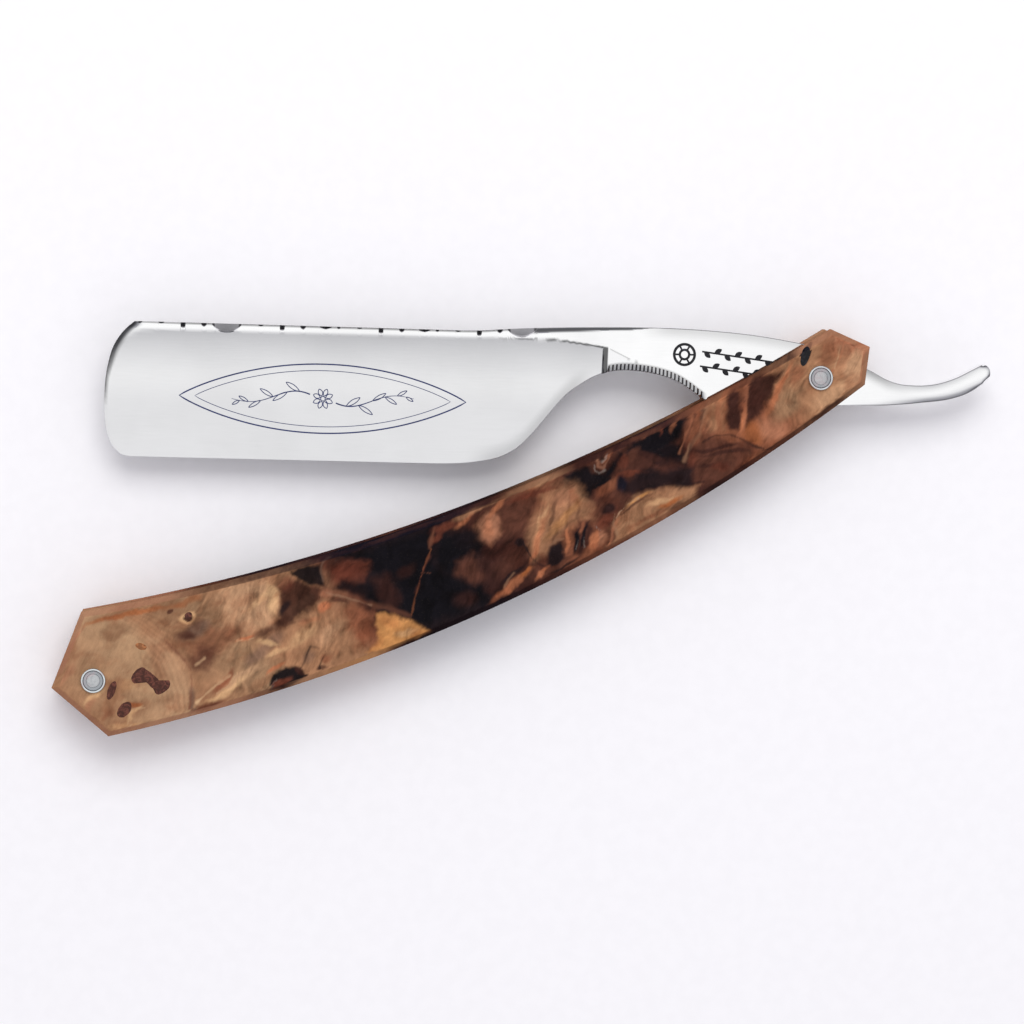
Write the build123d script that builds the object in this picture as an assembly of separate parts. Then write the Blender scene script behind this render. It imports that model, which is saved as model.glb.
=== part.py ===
from build123d import *
import os
from math import atan2, cos, degrees, radians, sin, sqrt, tan

# Straight razor, open at about half its travel. Millimetres, +Z up.
# The origin is on the pivot axis, in the outer face of the rear scale. +X runs along the blade
# from nose to tail, +Y points from the cutting edge to the spine, and Z is the pivot axis.

# ---- driving dimensions -------------------------------------------------------------------
SCALE_T = 3.0            # thickness of one scale
GAP_PIVOT = 5.10         # between the scales' inner faces at the pivot
GAP_WEDGE = 2.70         # between them at the wedge pin
PIN_SPACING = 132.84     # pivot axis to wedge pin
SCALE_HEADING = 203.92   # direction from pivot to wedge pin in the XY plane, degrees

TOP_ARC = (51.1, -361.3, 358.8)      # concave edge of a scale: centre s, centre n, radius
BOTTOM_ARC = (76.6, -308.9, 323.8)   # convex edge of a scale
PIVOT_END = (-4.9, -9.9, -1.6, -6.7)     # s of upper corner, s and n of the point, s of lower corner
WEDGE_END = (130.3, 139.8, -1.5, 134.2)  # the same at the wedge end
BEVEL_WIDTH = 0.95       # bevel round a scale's outer face, measured in the face
BEVEL_DEPTH = 0.75       # the same bevel, measured through the thickness

SPINE_T = 5.8            # blade thickness at the spine
TANG_T = 4.50            # shank and tang thickness
TAIL_T = 3.0             # tail thickness at its tip
HOLLOW_R = 30.0          # radius of the hollow grind
HOLLOW_Y = -7.0          # height of the thinnest point of the hollow arc
HOLLOW_HALF = 0.20       # half thickness there
SPINE_BEND = (-60.0, 6.45)   # where the straight spine starts to rise towards the shank
EDGE_Y = -16.2           # the cutting edge
EDGE_HALF = 0.04         # half thickness at the cutting edge
SHOULDER_X = -36.8       # where the hollow grind stops on the shank
SHOULDER_RUN = 1.0       # length of the shoulder's slope

SERRATION_PITCH = 0.72   # finger serrations under the shank
SERRATION_DEPTH = 0.32
VINE_REPEAT = 16.6       # one repeat of the decoration filed into the spine
VINE_FIRST = -124.3      # x of the first repeat on the front edge

PIN_R = 0.80             # both pins
SCALE_HOLE_R = 0.82      # pin holes in scales, wedge, collars and washers
TANG_HOLE_R = 0.84       # running clearance on the pivot pin
COLLAR_R = 2.08          # outside radius of the collars
COLLAR_H = 0.44          # height of their rim
DISH_H = 0.22            # height of the dished middle
HEAD_R = 1.18            # peened head of a pin
HEAD_H = 0.26            # its height above the dish
HEAD_EDGE = 0.10         # height of the head's straight rim, below its dome
SEAT_DEPTH = 0.03        # how deep a collar is bedded in the scale
SEAT_R = COLLAR_R + 0.03
WASHER_R = 3.2
WASHER_T = 0.22
WASHER_LIFT = 0.035      # keeps a washer clear of the tilted scale
RESIN_DEPTH = 0.8        # depth of the filled voids in the burl
WEDGE_START = 121.9      # s where the wedge begins, just clear of the closed blade's nose
SCOOP_R = 16.0           # radius of the hollow in its inner end
SCOOP_DEPTH = 1.2
WEDGE_INSET = 0.08       # the wedge stays this far inside the scales' outline

# ---- derived ------------------------------------------------------------------------------
HALF_PIVOT = GAP_PIVOT / 2
MID = HALF_PIVOT + SCALE_T           # height of the blade's middle plane
SPLAY = degrees(atan2((GAP_PIVOT - GAP_WEDGE) / 2, PIN_SPACING))
HEADING = radians(SCALE_HEADING)
WEDGE_PIN_XY = (PIN_SPACING * cos(HEADING), PIN_SPACING * sin(HEADING))


def save(node, solids):
    """Write one node; a list of separate solids becomes one compound."""
    shape = solids[0] if len(solids) == 1 else Compound(children=solids)
    shape.label = node
    export_step(shape, f"parts/{node}.step")


def only_solid(shape):
    """The largest solid of a boolean result."""
    return max(shape.solids(), key=lambda solid: solid.volume)


# ---- blade --------------------------------------------------------------------------------
def blade_outline():
    """Side view of the forging, as one closed face in the XY plane."""
    spine_front = (-115.8, 6.6)
    nose = (-120.7, -5.4)
    toe = (-117.6, EDGE_Y)
    heel = (-64.0, EDGE_Y)
    under_tail = (5.9, -4.6)
    tip_low = (29.4, 0.0)
    tip_high = (28.75, 3.0)
    edges = [
        ThreePointArc(spine_front, (-119.25, 2.9), nose),
        ThreePointArc(nose, (-120.1, -11.6), toe),
        Line(toe, heel),
        Spline(heel, (-56.4, -15.5), (-52.2, -14.2), (-48.7, -11.1), (-44.3, -5.7),
               (-40.5, -2.3), (-36.8, -0.3), tangents=[(1, 0), (2.2, 1)]),
        Spline((-36.8, -0.3), (-30.8, 0.3), (-24.2, -1.15), (-19.5, -4.1), (-14.5, -5.6),
               (-6.0, -5.4), under_tail, tangents=[(2.2, 0.9), (1, 0.02)]),
        Spline(under_tail, (12.5, -4.4), (17.8, -3.9), (23.6, -3.0), (27.8, -1.1), tip_low,
               tangents=[(1, 0.02), (1, 1)]),
        ThreePointArc(tip_low, (30.3, 1.6), tip_high),
        Spline(tip_high, (24.3, 0.65), (20.4, -0.63), (16.4, -0.92), (12.4, -0.23), (9.3, 1.3),
               (0.0, 5.1), (-11.3, 6.95), (-24.0, 7.72), (-37.5, 7.6), (-53.6, 6.85), SPINE_BEND,
               tangents=[(-2, -1), (-1, 0)]),
        Line(SPINE_BEND, spine_front),
    ]
    return make_face(edges)


def thickness_profile():
    """Plan view of the forging: full at the spine, parallel at the pivot, thinner at the tail."""
    spine, tang, tail = SPINE_T / 2, TANG_T / 2, TAIL_T / 2
    front, rear = -125.0, 35.0
    upper = [
        Line((front, -spine), (-47.4, -spine)),
        Spline((-47.4, -spine), (-31.0, -tang), tangents=[(1, 0), (1, 0)]),
        Line((-31.0, -tang), (8.0, -tang)),
        Spline((8.0, -tang), (rear, -tail), tangents=[(1, 0), (1, 0.05)]),
    ]
    lower = [mirror(edge, about=Plane.XZ) for edge in upper]
    ends = [Line((front, -spine), (front, spine)), Line((rear, -tail), (rear, tail))]
    return make_face(upper + lower + ends)


def hollow_cutter():
    """What the grinding wheel and the honing take from the upper side of the blade.

    The section is an arc of HOLLOW_R down to its thinnest point, then a straight taper to the
    edge; it ends in the sloping shoulder on the shank.
    """
    arc_top = 8.5
    wheel = HOLLOW_HALF + HOLLOW_R
    z_top = wheel - sqrt(HOLLOW_R ** 2 - (arc_top - HOLLOW_Y) ** 2)
    mid_y = (arc_top + HOLLOW_Y) / 2
    z_mid = wheel - sqrt(HOLLOW_R ** 2 - (mid_y - HOLLOW_Y) ** 2)
    roof = SPINE_T
    low_y = EDGE_Y - 3
    taper = (HOLLOW_HALF - EDGE_HALF) / (HOLLOW_Y - EDGE_Y)
    z_low = EDGE_HALF - taper * 3
    section = make_face([
        ThreePointArc((HOLLOW_Y, HOLLOW_HALF), (mid_y, z_mid), (arc_top, z_top)),
        Polyline((arc_top, z_top), (arc_top, roof), (low_y, roof), (low_y, z_low),
                 (HOLLOW_Y, HOLLOW_HALF)),
    ])
    placed = Plane(origin=(-130, 0, 0), x_dir=(0, 1, 0), z_dir=(1, 0, 0)) * section
    cutter = extrude(placed, amount=130 + SHOULDER_X + SHOULDER_RUN)
    slope = degrees(atan2(SHOULDER_RUN, SPINE_T / 2))
    stop = Pos(SHOULDER_X, 0, 0) * Rot(0, slope, 0) * Pos(10, 0, 0) * Box(20, 60, 40)
    return only_solid(cutter - stop)


def relief_cutter():
    """The facet ground on the lower front of the shank, between shoulder and serrations."""
    high, low = Vector(-35.6, 3.95, 2.42), Vector(-28.8, 0.75, TANG_T / 2)
    slope, reach = 10.0, 10.0
    down = Vector(0, 0, 1).cross(low - high).normalized() * -1
    down = down * cos(radians(slope)) - Vector(0, 0, 1) * sin(radians(slope))
    facet = Plane(origin=(high + low) / 2, x_dir=low - high, z_dir=(low - high).cross(down) * -1)
    return facet * Pos(0, -reach / 2, reach / 2) * Box(24, reach, reach)


def spine_top(x):
    """Height of the spine's upper face over the blade."""
    rise = 0.06 if x > SPINE_BEND[0] else -0.0027
    return SPINE_BEND[1] + rise * (x - SPINE_BEND[0])


def vine_cutters(side):
    """The filed decoration: round-file cuts across one upper edge of the spine.

    side is +1 for the front edge and -1 for the rear one, which is shifted by half a repeat.
    Each cut is a cylinder at 45 degrees across the edge: (offset, file radius, depth).
    """
    cuts = ((0.0, 0.42, 0.70), (3.5, 0.50, 0.48), (9.5, 0.38, 0.30), (13.0, 0.9, 0.22))
    scallop = (3.79, 1.10)
    shallow = (2.2, 0.36)
    cutters = []
    shift = 0.0 if side > 0 else VINE_REPEAT / 2
    for repeat in range(5):
        start = VINE_FIRST + shift + repeat * VINE_REPEAT
        wide = scallop if repeat % 3 == 1 else shallow
        for offset, radius, depth in cuts + ((7.3,) + wide,):
            x = start + offset
            if not -115.6 < x < -50.5:
                continue
            lift = (radius - depth) / sqrt(2)
            corner = Vector(x, spine_top(x) + lift, side * (SPINE_T / 2 + lift))
            cutters.append(Pos(corner) * Rot(side * 45, 0, 0) * Cylinder(radius, 9))
    return cutters


def serration_cutters(outline):
    """V-grooves under the shank, square to the curve that the finger rests on."""
    half, first, last = 0.26, 1.0, 19.5
    under_shank = [edge for edge in outline.edges() if -32 < (edge @ 0.3).X < -15]
    curve = min(under_shank, key=lambda edge: (edge @ 0.3).Y)
    forward = 1 if (curve @ 0).X < (curve @ 1).X else -1
    cutters = []
    for number in range(int((last - first) / SERRATION_PITCH)):
        t = (first + number * SERRATION_PITCH) / curve.length
        t = t if forward > 0 else 1 - t
        point, along = curve @ t, curve % t
        heading = degrees(atan2(along.Y * forward, along.X * forward))
        groove = make_face(Polyline((-half, -0.2), (half, -0.2), (0, SERRATION_DEPTH), close=True))
        prism = extrude(groove, amount=SPINE_T / 2 + 1, both=True)
        cutters.append(Pos(point.X, point.Y, 0) * Rot(0, 0, heading) * prism)
    return cutters


def make_blade():
    outline = blade_outline()
    slab = extrude(outline, amount=SPINE_T / 2, both=True)
    profile = Plane(origin=(0, -30, 0), x_dir=(1, 0, 0), z_dir=(0, 1, 0)) * thickness_profile()
    forging = only_solid(slab & extrude(profile, amount=60))
    hollow = hollow_cutter()
    relief = relief_cutter()
    grinds = [hollow, mirror(hollow, about=Plane.XY), relief, mirror(relief, about=Plane.XY)]
    grinds.append(Cylinder(TANG_HOLE_R, 20))
    for cutters in (grinds, vine_cutters(1), vine_cutters(-1), serration_cutters(outline)):
        forging = only_solid(forging.cut(*[only_solid(cutter) for cutter in cutters]))
    return Pos(0, 0, MID) * forging


# ---- scales and wedge ---------------------------------------------------------------------
def arc_n(arc, s):
    """Height n of a long edge of the scales at the distance s along them."""
    centre_s, centre_n, radius = arc
    return centre_n + sqrt(radius ** 2 - (s - centre_s) ** 2)


def scale_outline():
    """Side view of a scale: s runs from pivot to wedge pin, n towards the convex edge."""
    up_s, point_s, point_n, low_s = PIVOT_END
    far_up_s, far_s, far_n, far_low_s = WEDGE_END
    top_start, top_end = (up_s, arc_n(TOP_ARC, up_s)), (far_up_s, arc_n(TOP_ARC, far_up_s))
    low_start, low_end = (low_s, arc_n(BOTTOM_ARC, low_s)), (far_low_s, arc_n(BOTTOM_ARC, far_low_s))
    top_mid, low_mid = TOP_ARC[0], BOTTOM_ARC[0]
    face = make_face([
        ThreePointArc(top_start, (top_mid, arc_n(TOP_ARC, top_mid)), top_end),
        Polyline(top_end, (far_s, far_n), low_end),
        ThreePointArc(low_end, (low_mid, arc_n(BOTTOM_ARC, low_mid)), low_start),
        Polyline(low_start, (point_s, point_n), top_start),
    ])
    return face


def place_front(shape):
    """Put a shape from a scale's own axes (inner face at 0, outer face up) on the front side."""
    return Pos(0, 0, MID + HALF_PIVOT) * Rot(0, 0, SCALE_HEADING) * Rot(0, SPLAY, 0) * shape


def place_rear(shape):
    """The same on the rear side, mirrored in the blade's middle plane."""
    return mirror(place_front(shape), about=Plane.XY.offset(MID))


def resin_shapes(front):
    """Plan shapes of the resin-filled voids: (s, n, turn in degrees, length, width) each."""
    if front:
        spots = [(125.35, 2.25, 28, 3.1, 2.1), (123.75, 3.8, 109, 4.6, 1.75),
                 (122.55, 5.55, 21, 3.2, 1.7), (130.6, 2.7, 48, 3.2, 1.3),
                 (129.9, 6.55, 28, 3.1, 1.9), (123.2, -2.2, -40, 1.9, 1.1),
                 (113.9, -4.0, 10, 1.3, 1.0), (1.0, -4.45, 52, 3.3, 1.4)]
    else:
        spots = [(116.0, 3.6, 30, 3.4, 1.9), (121.5, -4.2, -40, 2.2, 1.4), (66.0, 7.5, 15, 3.0, 1.2),
                 (31.0, 1.6, -20, 2.2, 1.3)]
    return spots


def make_fill(spot, body):
    """Resin in one elliptical void, level with the surface of the scale's body."""
    s, n, turn, length, width = spot
    ellipse = Pos(s, n, SCALE_T - RESIN_DEPTH) * Rot(0, 0, turn) * Ellipse(length / 2, width / 2)
    return extrude(ellipse, amount=RESIN_DEPTH) & body


def merge_touching(fills):
    """Join the fills that run into each other, so that every resin solid stands alone."""
    groups = []
    for fill in fills:
        solid = only_solid(fill)
        touching = [g for g in groups if (g & solid) is not None and (g & solid).solids()]
        for other in touching:
            groups.remove(other)
            solid = only_solid(solid + other)
        groups.append(solid)
    return groups


def make_scale(front):
    """One scale with its holes, collar seats and voids, and the resin that fills the voids."""
    body = extrude(scale_outline(), amount=SCALE_T)
    outer_face = body.faces().sort_by(Axis.Z)[-1]
    body = chamfer(outer_face.outer_wire().edges(), BEVEL_WIDTH, BEVEL_DEPTH, reference=outer_face)
    fills = merge_touching([make_fill(spot, body) for spot in resin_shapes(front)])
    body = body.cut(*fills)
    place = place_front if front else place_rear
    scale = only_solid(place(only_solid(body)))
    fills = [only_solid(place(fill)) for fill in fills]
    for pin in PINS:
        scale = scale.cut(pin.hole(), pin.seat(front))
    return only_solid(scale), fills


def make_wedge():
    """Tapered spacer that fills the closed end between the scales."""
    outline = offset(scale_outline(), -WEDGE_INSET)
    prism = extrude(Rot(0, 0, SCALE_HEADING) * outline, amount=HALF_PIVOT, both=True)
    prism = Pos(0, 0, MID) * prism
    slope = tan(radians(SPLAY))
    near, far = HALF_PIVOT - WEDGE_START * slope, HALF_PIVOT - 150 * slope
    taper = make_face(Polyline((WEDGE_START, -near), (150, -far), (150, far), (WEDGE_START, near),
                               close=True))
    taper = extrude(Plane.XZ * taper, amount=30, both=True)
    taper = Pos(0, 0, MID) * Rot(0, 0, SCALE_HEADING) * taper
    wedge = only_solid(prism & taper)
    scoop_s = WEDGE_START + SCOOP_DEPTH - SCOOP_R
    scoop = Pos(0, 0, MID) * Rot(0, 0, SCALE_HEADING) * Pos(scoop_s, 0, 0) * Cylinder(SCOOP_R, 20)
    return only_solid(wedge.cut(only_solid(scoop), PINS[1].hole()))


# ---- pins, collars, washers ---------------------------------------------------------------
class Pinned:
    """One pinned joint: a pin, its hole and the two collars under its heads."""

    def __init__(self, name, x, y, distance):
        self.name, self.x, self.y = name, x, y
        self.outer = HALF_PIVOT - distance * tan(radians(SPLAY)) + SCALE_T / cos(radians(SPLAY))
        self.seat_z = self.outer - SEAT_DEPTH

    def at(self, height, shape):
        return Pos(self.x, self.y, MID + height) * shape

    def hole(self):
        return only_solid(self.at(0, Cylinder(SCALE_HOLE_R, 4 * MID)))

    def seat(self, front):
        side = 1 if front else -1
        return only_solid(self.at(side * (self.seat_z + 1), Cylinder(SEAT_R, 2)))

    def collar(self, front):
        """Turned collar: rounded rim, dished middle, flat back on its seat."""
        rim_r, dish_r = COLLAR_R - 0.32, 1.30
        section = make_face([
            Polyline((SCALE_HOLE_R, 0), (COLLAR_R, 0), (COLLAR_R, COLLAR_H - 0.16)),
            ThreePointArc((COLLAR_R, COLLAR_H - 0.16), (COLLAR_R - 0.05, COLLAR_H - 0.04),
                          (COLLAR_R - 0.16, COLLAR_H)),
            Line((COLLAR_R - 0.16, COLLAR_H), (rim_r, COLLAR_H - 0.03)),
            ThreePointArc((rim_r, COLLAR_H - 0.03), (1.62, DISH_H + 0.05), (dish_r, DISH_H)),
            Polyline((dish_r, DISH_H), (SCALE_HOLE_R, DISH_H), (SCALE_HOLE_R, 0)),
        ])
        ring = only_solid(revolve(Plane.XZ * section, Axis.Z))
        ring = self.at(0, Pos(0, 0, self.seat_z) * ring)
        return ring if front else mirror(ring, about=Plane.XY.offset(MID))

    def pin(self):
        """Shaft with a low peened dome at each end."""
        base = self.seat_z + DISH_H
        dome_h = HEAD_H - HEAD_EDGE
        dome_r = (HEAD_R ** 2 + dome_h ** 2) / (2 * dome_h)
        head = Pos(0, 0, base + HEAD_H / 2) * Cylinder(HEAD_R, HEAD_H)
        head = only_solid(head & Pos(0, 0, base + HEAD_H - dome_r) * Sphere(dome_r))
        shaft = Cylinder(PIN_R, 2 * base + HEAD_EDGE)
        return self.at(0, only_solid(shaft + head + mirror(head, about=Plane.XY)))


PINS = (Pinned("pivot", 0.0, 0.0, 0.0), Pinned("wedge", *WEDGE_PIN_XY, PIN_SPACING))


def make_washer(front):
    """Thin ring between the tang and a scale."""
    top = HALF_PIVOT - WASHER_LIFT
    height = (top - WASHER_T / 2) * (1 if front else -1)
    return Pos(0, 0, MID + height) * (Cylinder(WASHER_R, WASHER_T) - Cylinder(SCALE_HOLE_R, 2))


def main():
    os.makedirs("parts", exist_ok=True)
    save("blade", [make_blade()])
    for side, front in (("front", True), ("rear", False)):
        scale, fills = make_scale(front)
        save(f"{side}_scale", [scale])
        save(f"{side}_resin_fills", fills)
        save(f"pivot_washer_{side}", [only_solid(make_washer(front))])
        for pin in PINS:
            save(f"{pin.name}_collar_{side}", [only_solid(pin.collar(front))])
    for pin in PINS:
        save(f"{pin.name}_pin", [only_solid(pin.pin())])
    save("wedge", [make_wedge()])


if __name__ == "__main__":
    main()
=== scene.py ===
from math import atan2, cos, pi, radians, sin, sqrt, tan

import bmesh
import bpy
import numpy as np
from mathutils import Matrix, Vector


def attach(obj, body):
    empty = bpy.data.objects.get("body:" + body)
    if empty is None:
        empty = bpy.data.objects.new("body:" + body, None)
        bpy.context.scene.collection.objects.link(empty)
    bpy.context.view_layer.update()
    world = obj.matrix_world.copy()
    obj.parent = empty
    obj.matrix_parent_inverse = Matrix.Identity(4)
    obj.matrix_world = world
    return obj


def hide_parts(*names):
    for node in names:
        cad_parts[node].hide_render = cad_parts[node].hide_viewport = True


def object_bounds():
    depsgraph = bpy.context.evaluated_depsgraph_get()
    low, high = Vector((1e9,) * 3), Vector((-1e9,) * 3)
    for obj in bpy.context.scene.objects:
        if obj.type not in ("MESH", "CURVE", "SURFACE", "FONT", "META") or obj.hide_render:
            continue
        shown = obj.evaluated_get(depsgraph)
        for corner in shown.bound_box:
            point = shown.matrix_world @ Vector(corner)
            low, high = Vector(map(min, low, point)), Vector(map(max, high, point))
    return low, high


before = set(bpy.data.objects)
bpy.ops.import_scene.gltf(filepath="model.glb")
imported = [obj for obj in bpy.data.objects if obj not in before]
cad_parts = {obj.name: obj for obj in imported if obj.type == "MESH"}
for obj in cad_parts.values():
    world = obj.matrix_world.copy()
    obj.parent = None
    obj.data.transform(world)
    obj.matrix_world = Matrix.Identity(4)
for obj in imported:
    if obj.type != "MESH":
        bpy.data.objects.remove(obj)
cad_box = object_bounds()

bl_info = {
    "name": "Straight Razor",
    "version": (1, 0, 0),
    "blender": (4, 5, 0),
    "location": "3D View > Sidebar > Razor",
    "description": "Hollow ground razor with a filed spine and scales of stabilised burl",
    "category": "Add Mesh",
}

MM = 0.001
MID = 5.55                       # height of the blade's middle plane, mm
HEADING = radians(203.92)        # direction from the pivot to the wedge pin
WEDGE_PIN_S = 132.84             # pivot axis to the wedge pin, along the scales
SPLAY = atan2(1.2, WEDGE_PIN_S)  # each scale leans inwards by this towards the wedge
GAP_HALF = 2.55                  # middle plane to a scale's inner face at the pivot
SCALE_T = 3.0
ALONG = np.array([cos(HEADING), sin(HEADING)])
ACROSS = np.array([-sin(HEADING), cos(HEADING)])


# ---- settings a user may change -----------------------------------------------------------
class BladeSettings(bpy.types.PropertyGroup):
    """Sizes of the forging's finish, in millimetres"""

    edge_break: bpy.props.FloatProperty(
        name="Edge break", description="Rounding of the spine's and shank's edges, mm",
        default=0.11, min=0.02, max=0.3)
    hollow_radius: bpy.props.FloatProperty(
        name="Hollow radius", description="Radius of the grinding wheel, mm", default=30.0)
    etching: bpy.props.FloatVectorProperty(
        name="Etching", description="Colour of the etched ornament", subtype="COLOR",
        default=(0.020, 0.028, 0.085), min=0.0, max=1.0)


class ScaleSettings(bpy.types.PropertyGroup):
    """Look of the burl scales"""

    grid: bpy.props.FloatProperty(
        name="Grid", description="Spacing of the painted points on the outer face, mm",
        default=0.21, min=0.15, max=2.0)
    figure: bpy.props.FloatProperty(
        name="Figure", description="How far the burl's figure is stirred, mm",
        default=0.75, min=0.0, max=4.0)
    gloss: bpy.props.FloatProperty(
        name="Gloss", description="Weight of the clear coat", subtype="FACTOR",
        default=0.16, min=0.0, max=1.0)


class HardwareSettings(bpy.types.PropertyGroup):
    """Pins, collars and washers"""

    turns: bpy.props.IntProperty(
        name="Turns", description="Divisions round a turned part", default=160, min=24, max=256)
    nickel: bpy.props.FloatVectorProperty(
        name="Nickel silver", description="Colour of the collars", subtype="COLOR",
        default=(0.70, 0.74, 0.75), min=0.0, max=1.0)
    brass: bpy.props.FloatVectorProperty(
        name="Brass", description="Colour of the washers", subtype="COLOR",
        default=(0.72, 0.50, 0.20), min=0.0, max=1.0)


# ---- shader expressions -------------------------------------------------------------------
class Socket:
    """An output of a node tree that can be used in a Python expression."""

    def __init__(self, shader, socket):
        self.shader, self.socket = shader, socket

    def _math(self, operation, *values):
        return self.shader.node("ShaderNodeMath", {"operation": operation}, dict(enumerate(values)))

    def __add__(self, other):
        return self._math("ADD", self, other)

    def __sub__(self, other):
        return self._math("SUBTRACT", self, other)

    def __rsub__(self, other):
        return self._math("SUBTRACT", other, self)

    def __mul__(self, other):
        return self._math("MULTIPLY", self, other)

    def __truediv__(self, other):
        return self._math("DIVIDE", self, other)

    def __pow__(self, other):
        return self._math("POWER", self, other)

    __radd__ = __add__
    __rmul__ = __mul__

    def ramp(self, low, high, to_low=0.0, to_high=1.0):
        """This value taken from low..high to to_low..to_high, smoothly and clamped."""
        return self.shader.node(
            "ShaderNodeMapRange", {"interpolation_type": "SMOOTHSTEP"},
            {0: self, 1: low, 2: high, 3: to_low, 4: to_high})


class Shader:
    """One material, built from expressions."""

    def __init__(self, name):
        self.material = bpy.data.materials.new(name)
        self.material.use_nodes = True
        self.tree = self.material.node_tree
        self.tree.nodes.clear()
        self.surface = self.tree.nodes.new("ShaderNodeBsdfPrincipled")
        output = self.tree.nodes.new("ShaderNodeOutputMaterial")
        self.tree.links.new(self.surface.outputs[0], output.inputs["Surface"])

    def node(self, kind, settings=None, inputs=None, output=0):
        """A node of that type: settings first, then each input's value or link."""
        node = self.tree.nodes.new(kind)
        for key, value in (settings or {}).items():
            if key == "stops":
                self._stops(node.color_ramp, value)
            else:
                setattr(node, key, value)
        for key, value in (inputs or {}).items():
            self.feed(node.inputs[key], value)
        return Socket(self, node.outputs[output])

    def _stops(self, ramp, stops):
        while len(ramp.elements) < len(stops):
            ramp.elements.new(1.0)
        for element, (place, colour) in zip(ramp.elements, stops):
            element.position, element.color = place, (*colour, 1.0)

    def feed(self, target, value):
        if isinstance(value, Socket):
            self.tree.links.new(value.socket, target)
        elif target.type == "RGBA" and len(value) == 3:
            target.default_value = (*value, 1.0)
        else:
            target.default_value = value

    def set(self, **values):
        """Inputs of the surface shader; base_color stands for Base Color and so on."""
        for key, value in values.items():
            self.feed(self.surface.inputs[key.replace("_", " ").title().replace("Ior", "IOR")], value)
        return self.material

    def place(self, scale=1000.0, stretch=(1.0, 1.0, 1.0), turn=0.0):
        """Object coordinates in millimetres, turned about Z, then stretched."""
        spot = self.node("ShaderNodeTexCoord", output="Object")
        spot = self.node("ShaderNodeMapping", {"vector_type": "TEXTURE"},
                         {"Vector": spot, "Rotation": (0.0, 0.0, turn)})
        size = tuple(scale * part for part in stretch)
        return self.node("ShaderNodeVectorMath", {"operation": "MULTIPLY"}, {0: spot, 1: size})

    def noise(self, vector, scale, detail=3.0, rough=0.55, warp=0.0):
        return self.node("ShaderNodeTexNoise", {},
                         {"Vector": vector, "Scale": scale, "Detail": detail, "Roughness": rough,
                          "Distortion": warp})

    def attribute(self, name, output="Color"):
        return self.node("ShaderNodeAttribute", {"attribute_name": name}, output=output)

    def mix(self, factor, first, second, blend="MIX"):
        """Two colours blended by a factor."""
        node = self.tree.nodes.new("ShaderNodeMix")
        node.data_type, node.blend_type = "RGBA", blend
        for key, value in ((0, factor), (6, first), (7, second)):
            self.feed(node.inputs[key], value)
        return Socket(self, node.outputs[2])

    def bump(self, height, distance, strength=1.0):
        return self.node("ShaderNodeBump", {},
                         {"Height": height, "Distance": distance * MM, "Strength": strength})


# ---- number helpers -----------------------------------------------------------------------
def smooth(low, high, value):
    """Smoothstep: 0 below low, 1 above high."""
    t = np.clip((value - low) / (high - low), 0, 1)
    return t * t * (3 - 2 * t)


def mix(first, second, t):
    """Blend from the first value to the second by a share, on numbers or whole arrays."""
    return first + (second - first) * t


def lattice_noise(x, y, seed):
    """Random heights on a 64 by 64 lattice that repeats, blended with a smoothstep; -1 to 1."""
    heights = np.random.default_rng(seed).random((64, 64)) * 2 - 1
    i, j = np.floor(x).astype(int), np.floor(y).astype(int)
    u, v = x - i, y - j
    u, v = u * u * (3 - 2 * u), v * v * (3 - 2 * v)
    low = mix(heights[i % 64, j % 64], heights[(i + 1) % 64, j % 64], u)
    high = mix(heights[i % 64, (j + 1) % 64], heights[(i + 1) % 64, (j + 1) % 64], u)
    return mix(low, high, v)


def cloud(x, y, seed, octaves=4, gain=0.5):
    """Sum of lattice noises, each octave twice as fine and gain times as strong."""
    total, weight = 0.0, 1.0
    for octave in range(octaves):
        total = total + weight * lattice_noise(x * 2 ** octave, y * 2 ** octave, seed + octave)
        weight *= gain
    return total


def linear(colour):
    """sRGB bytes to linear light."""
    c = np.asarray(colour, float) / 255
    return np.where(c <= 0.04045, c / 12.92, ((c + 0.055) / 1.055) ** 2.4)


def spline(points, t):
    """Catmull-Rom curve through the points at parameters t from 0 to 1, by chord length."""
    p = np.asarray(points, float)
    knots = np.concatenate([[0], np.cumsum(np.linalg.norm(np.diff(p, axis=0), axis=1))])
    slopes = np.gradient(p, knots, axis=0)
    x = np.asarray(t) * knots[-1]
    i = np.clip(np.searchsorted(knots, x, side="right") - 1, 0, len(p) - 2)
    h = (knots[i + 1] - knots[i])[:, None]
    u = (x[:, None] - knots[i][:, None]) / h
    return ((2 * u ** 3 - 3 * u ** 2 + 1) * p[i] + (u ** 3 - 2 * u ** 2 + u) * h * slopes[i]
            + (3 * u ** 2 - 2 * u ** 3) * p[i + 1] + (u ** 3 - u ** 2) * h * slopes[i + 1])


def loop_faces(rows, columns):
    """Quads of closed loops of points stacked in rows."""
    i = np.arange(rows - 1)[:, None] * columns
    j = np.arange(columns)[None, :]
    k = (j + 1) % columns
    return np.stack([i + j, i + k, i + columns + k, i + columns + j], -1).reshape(-1, 4)


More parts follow.
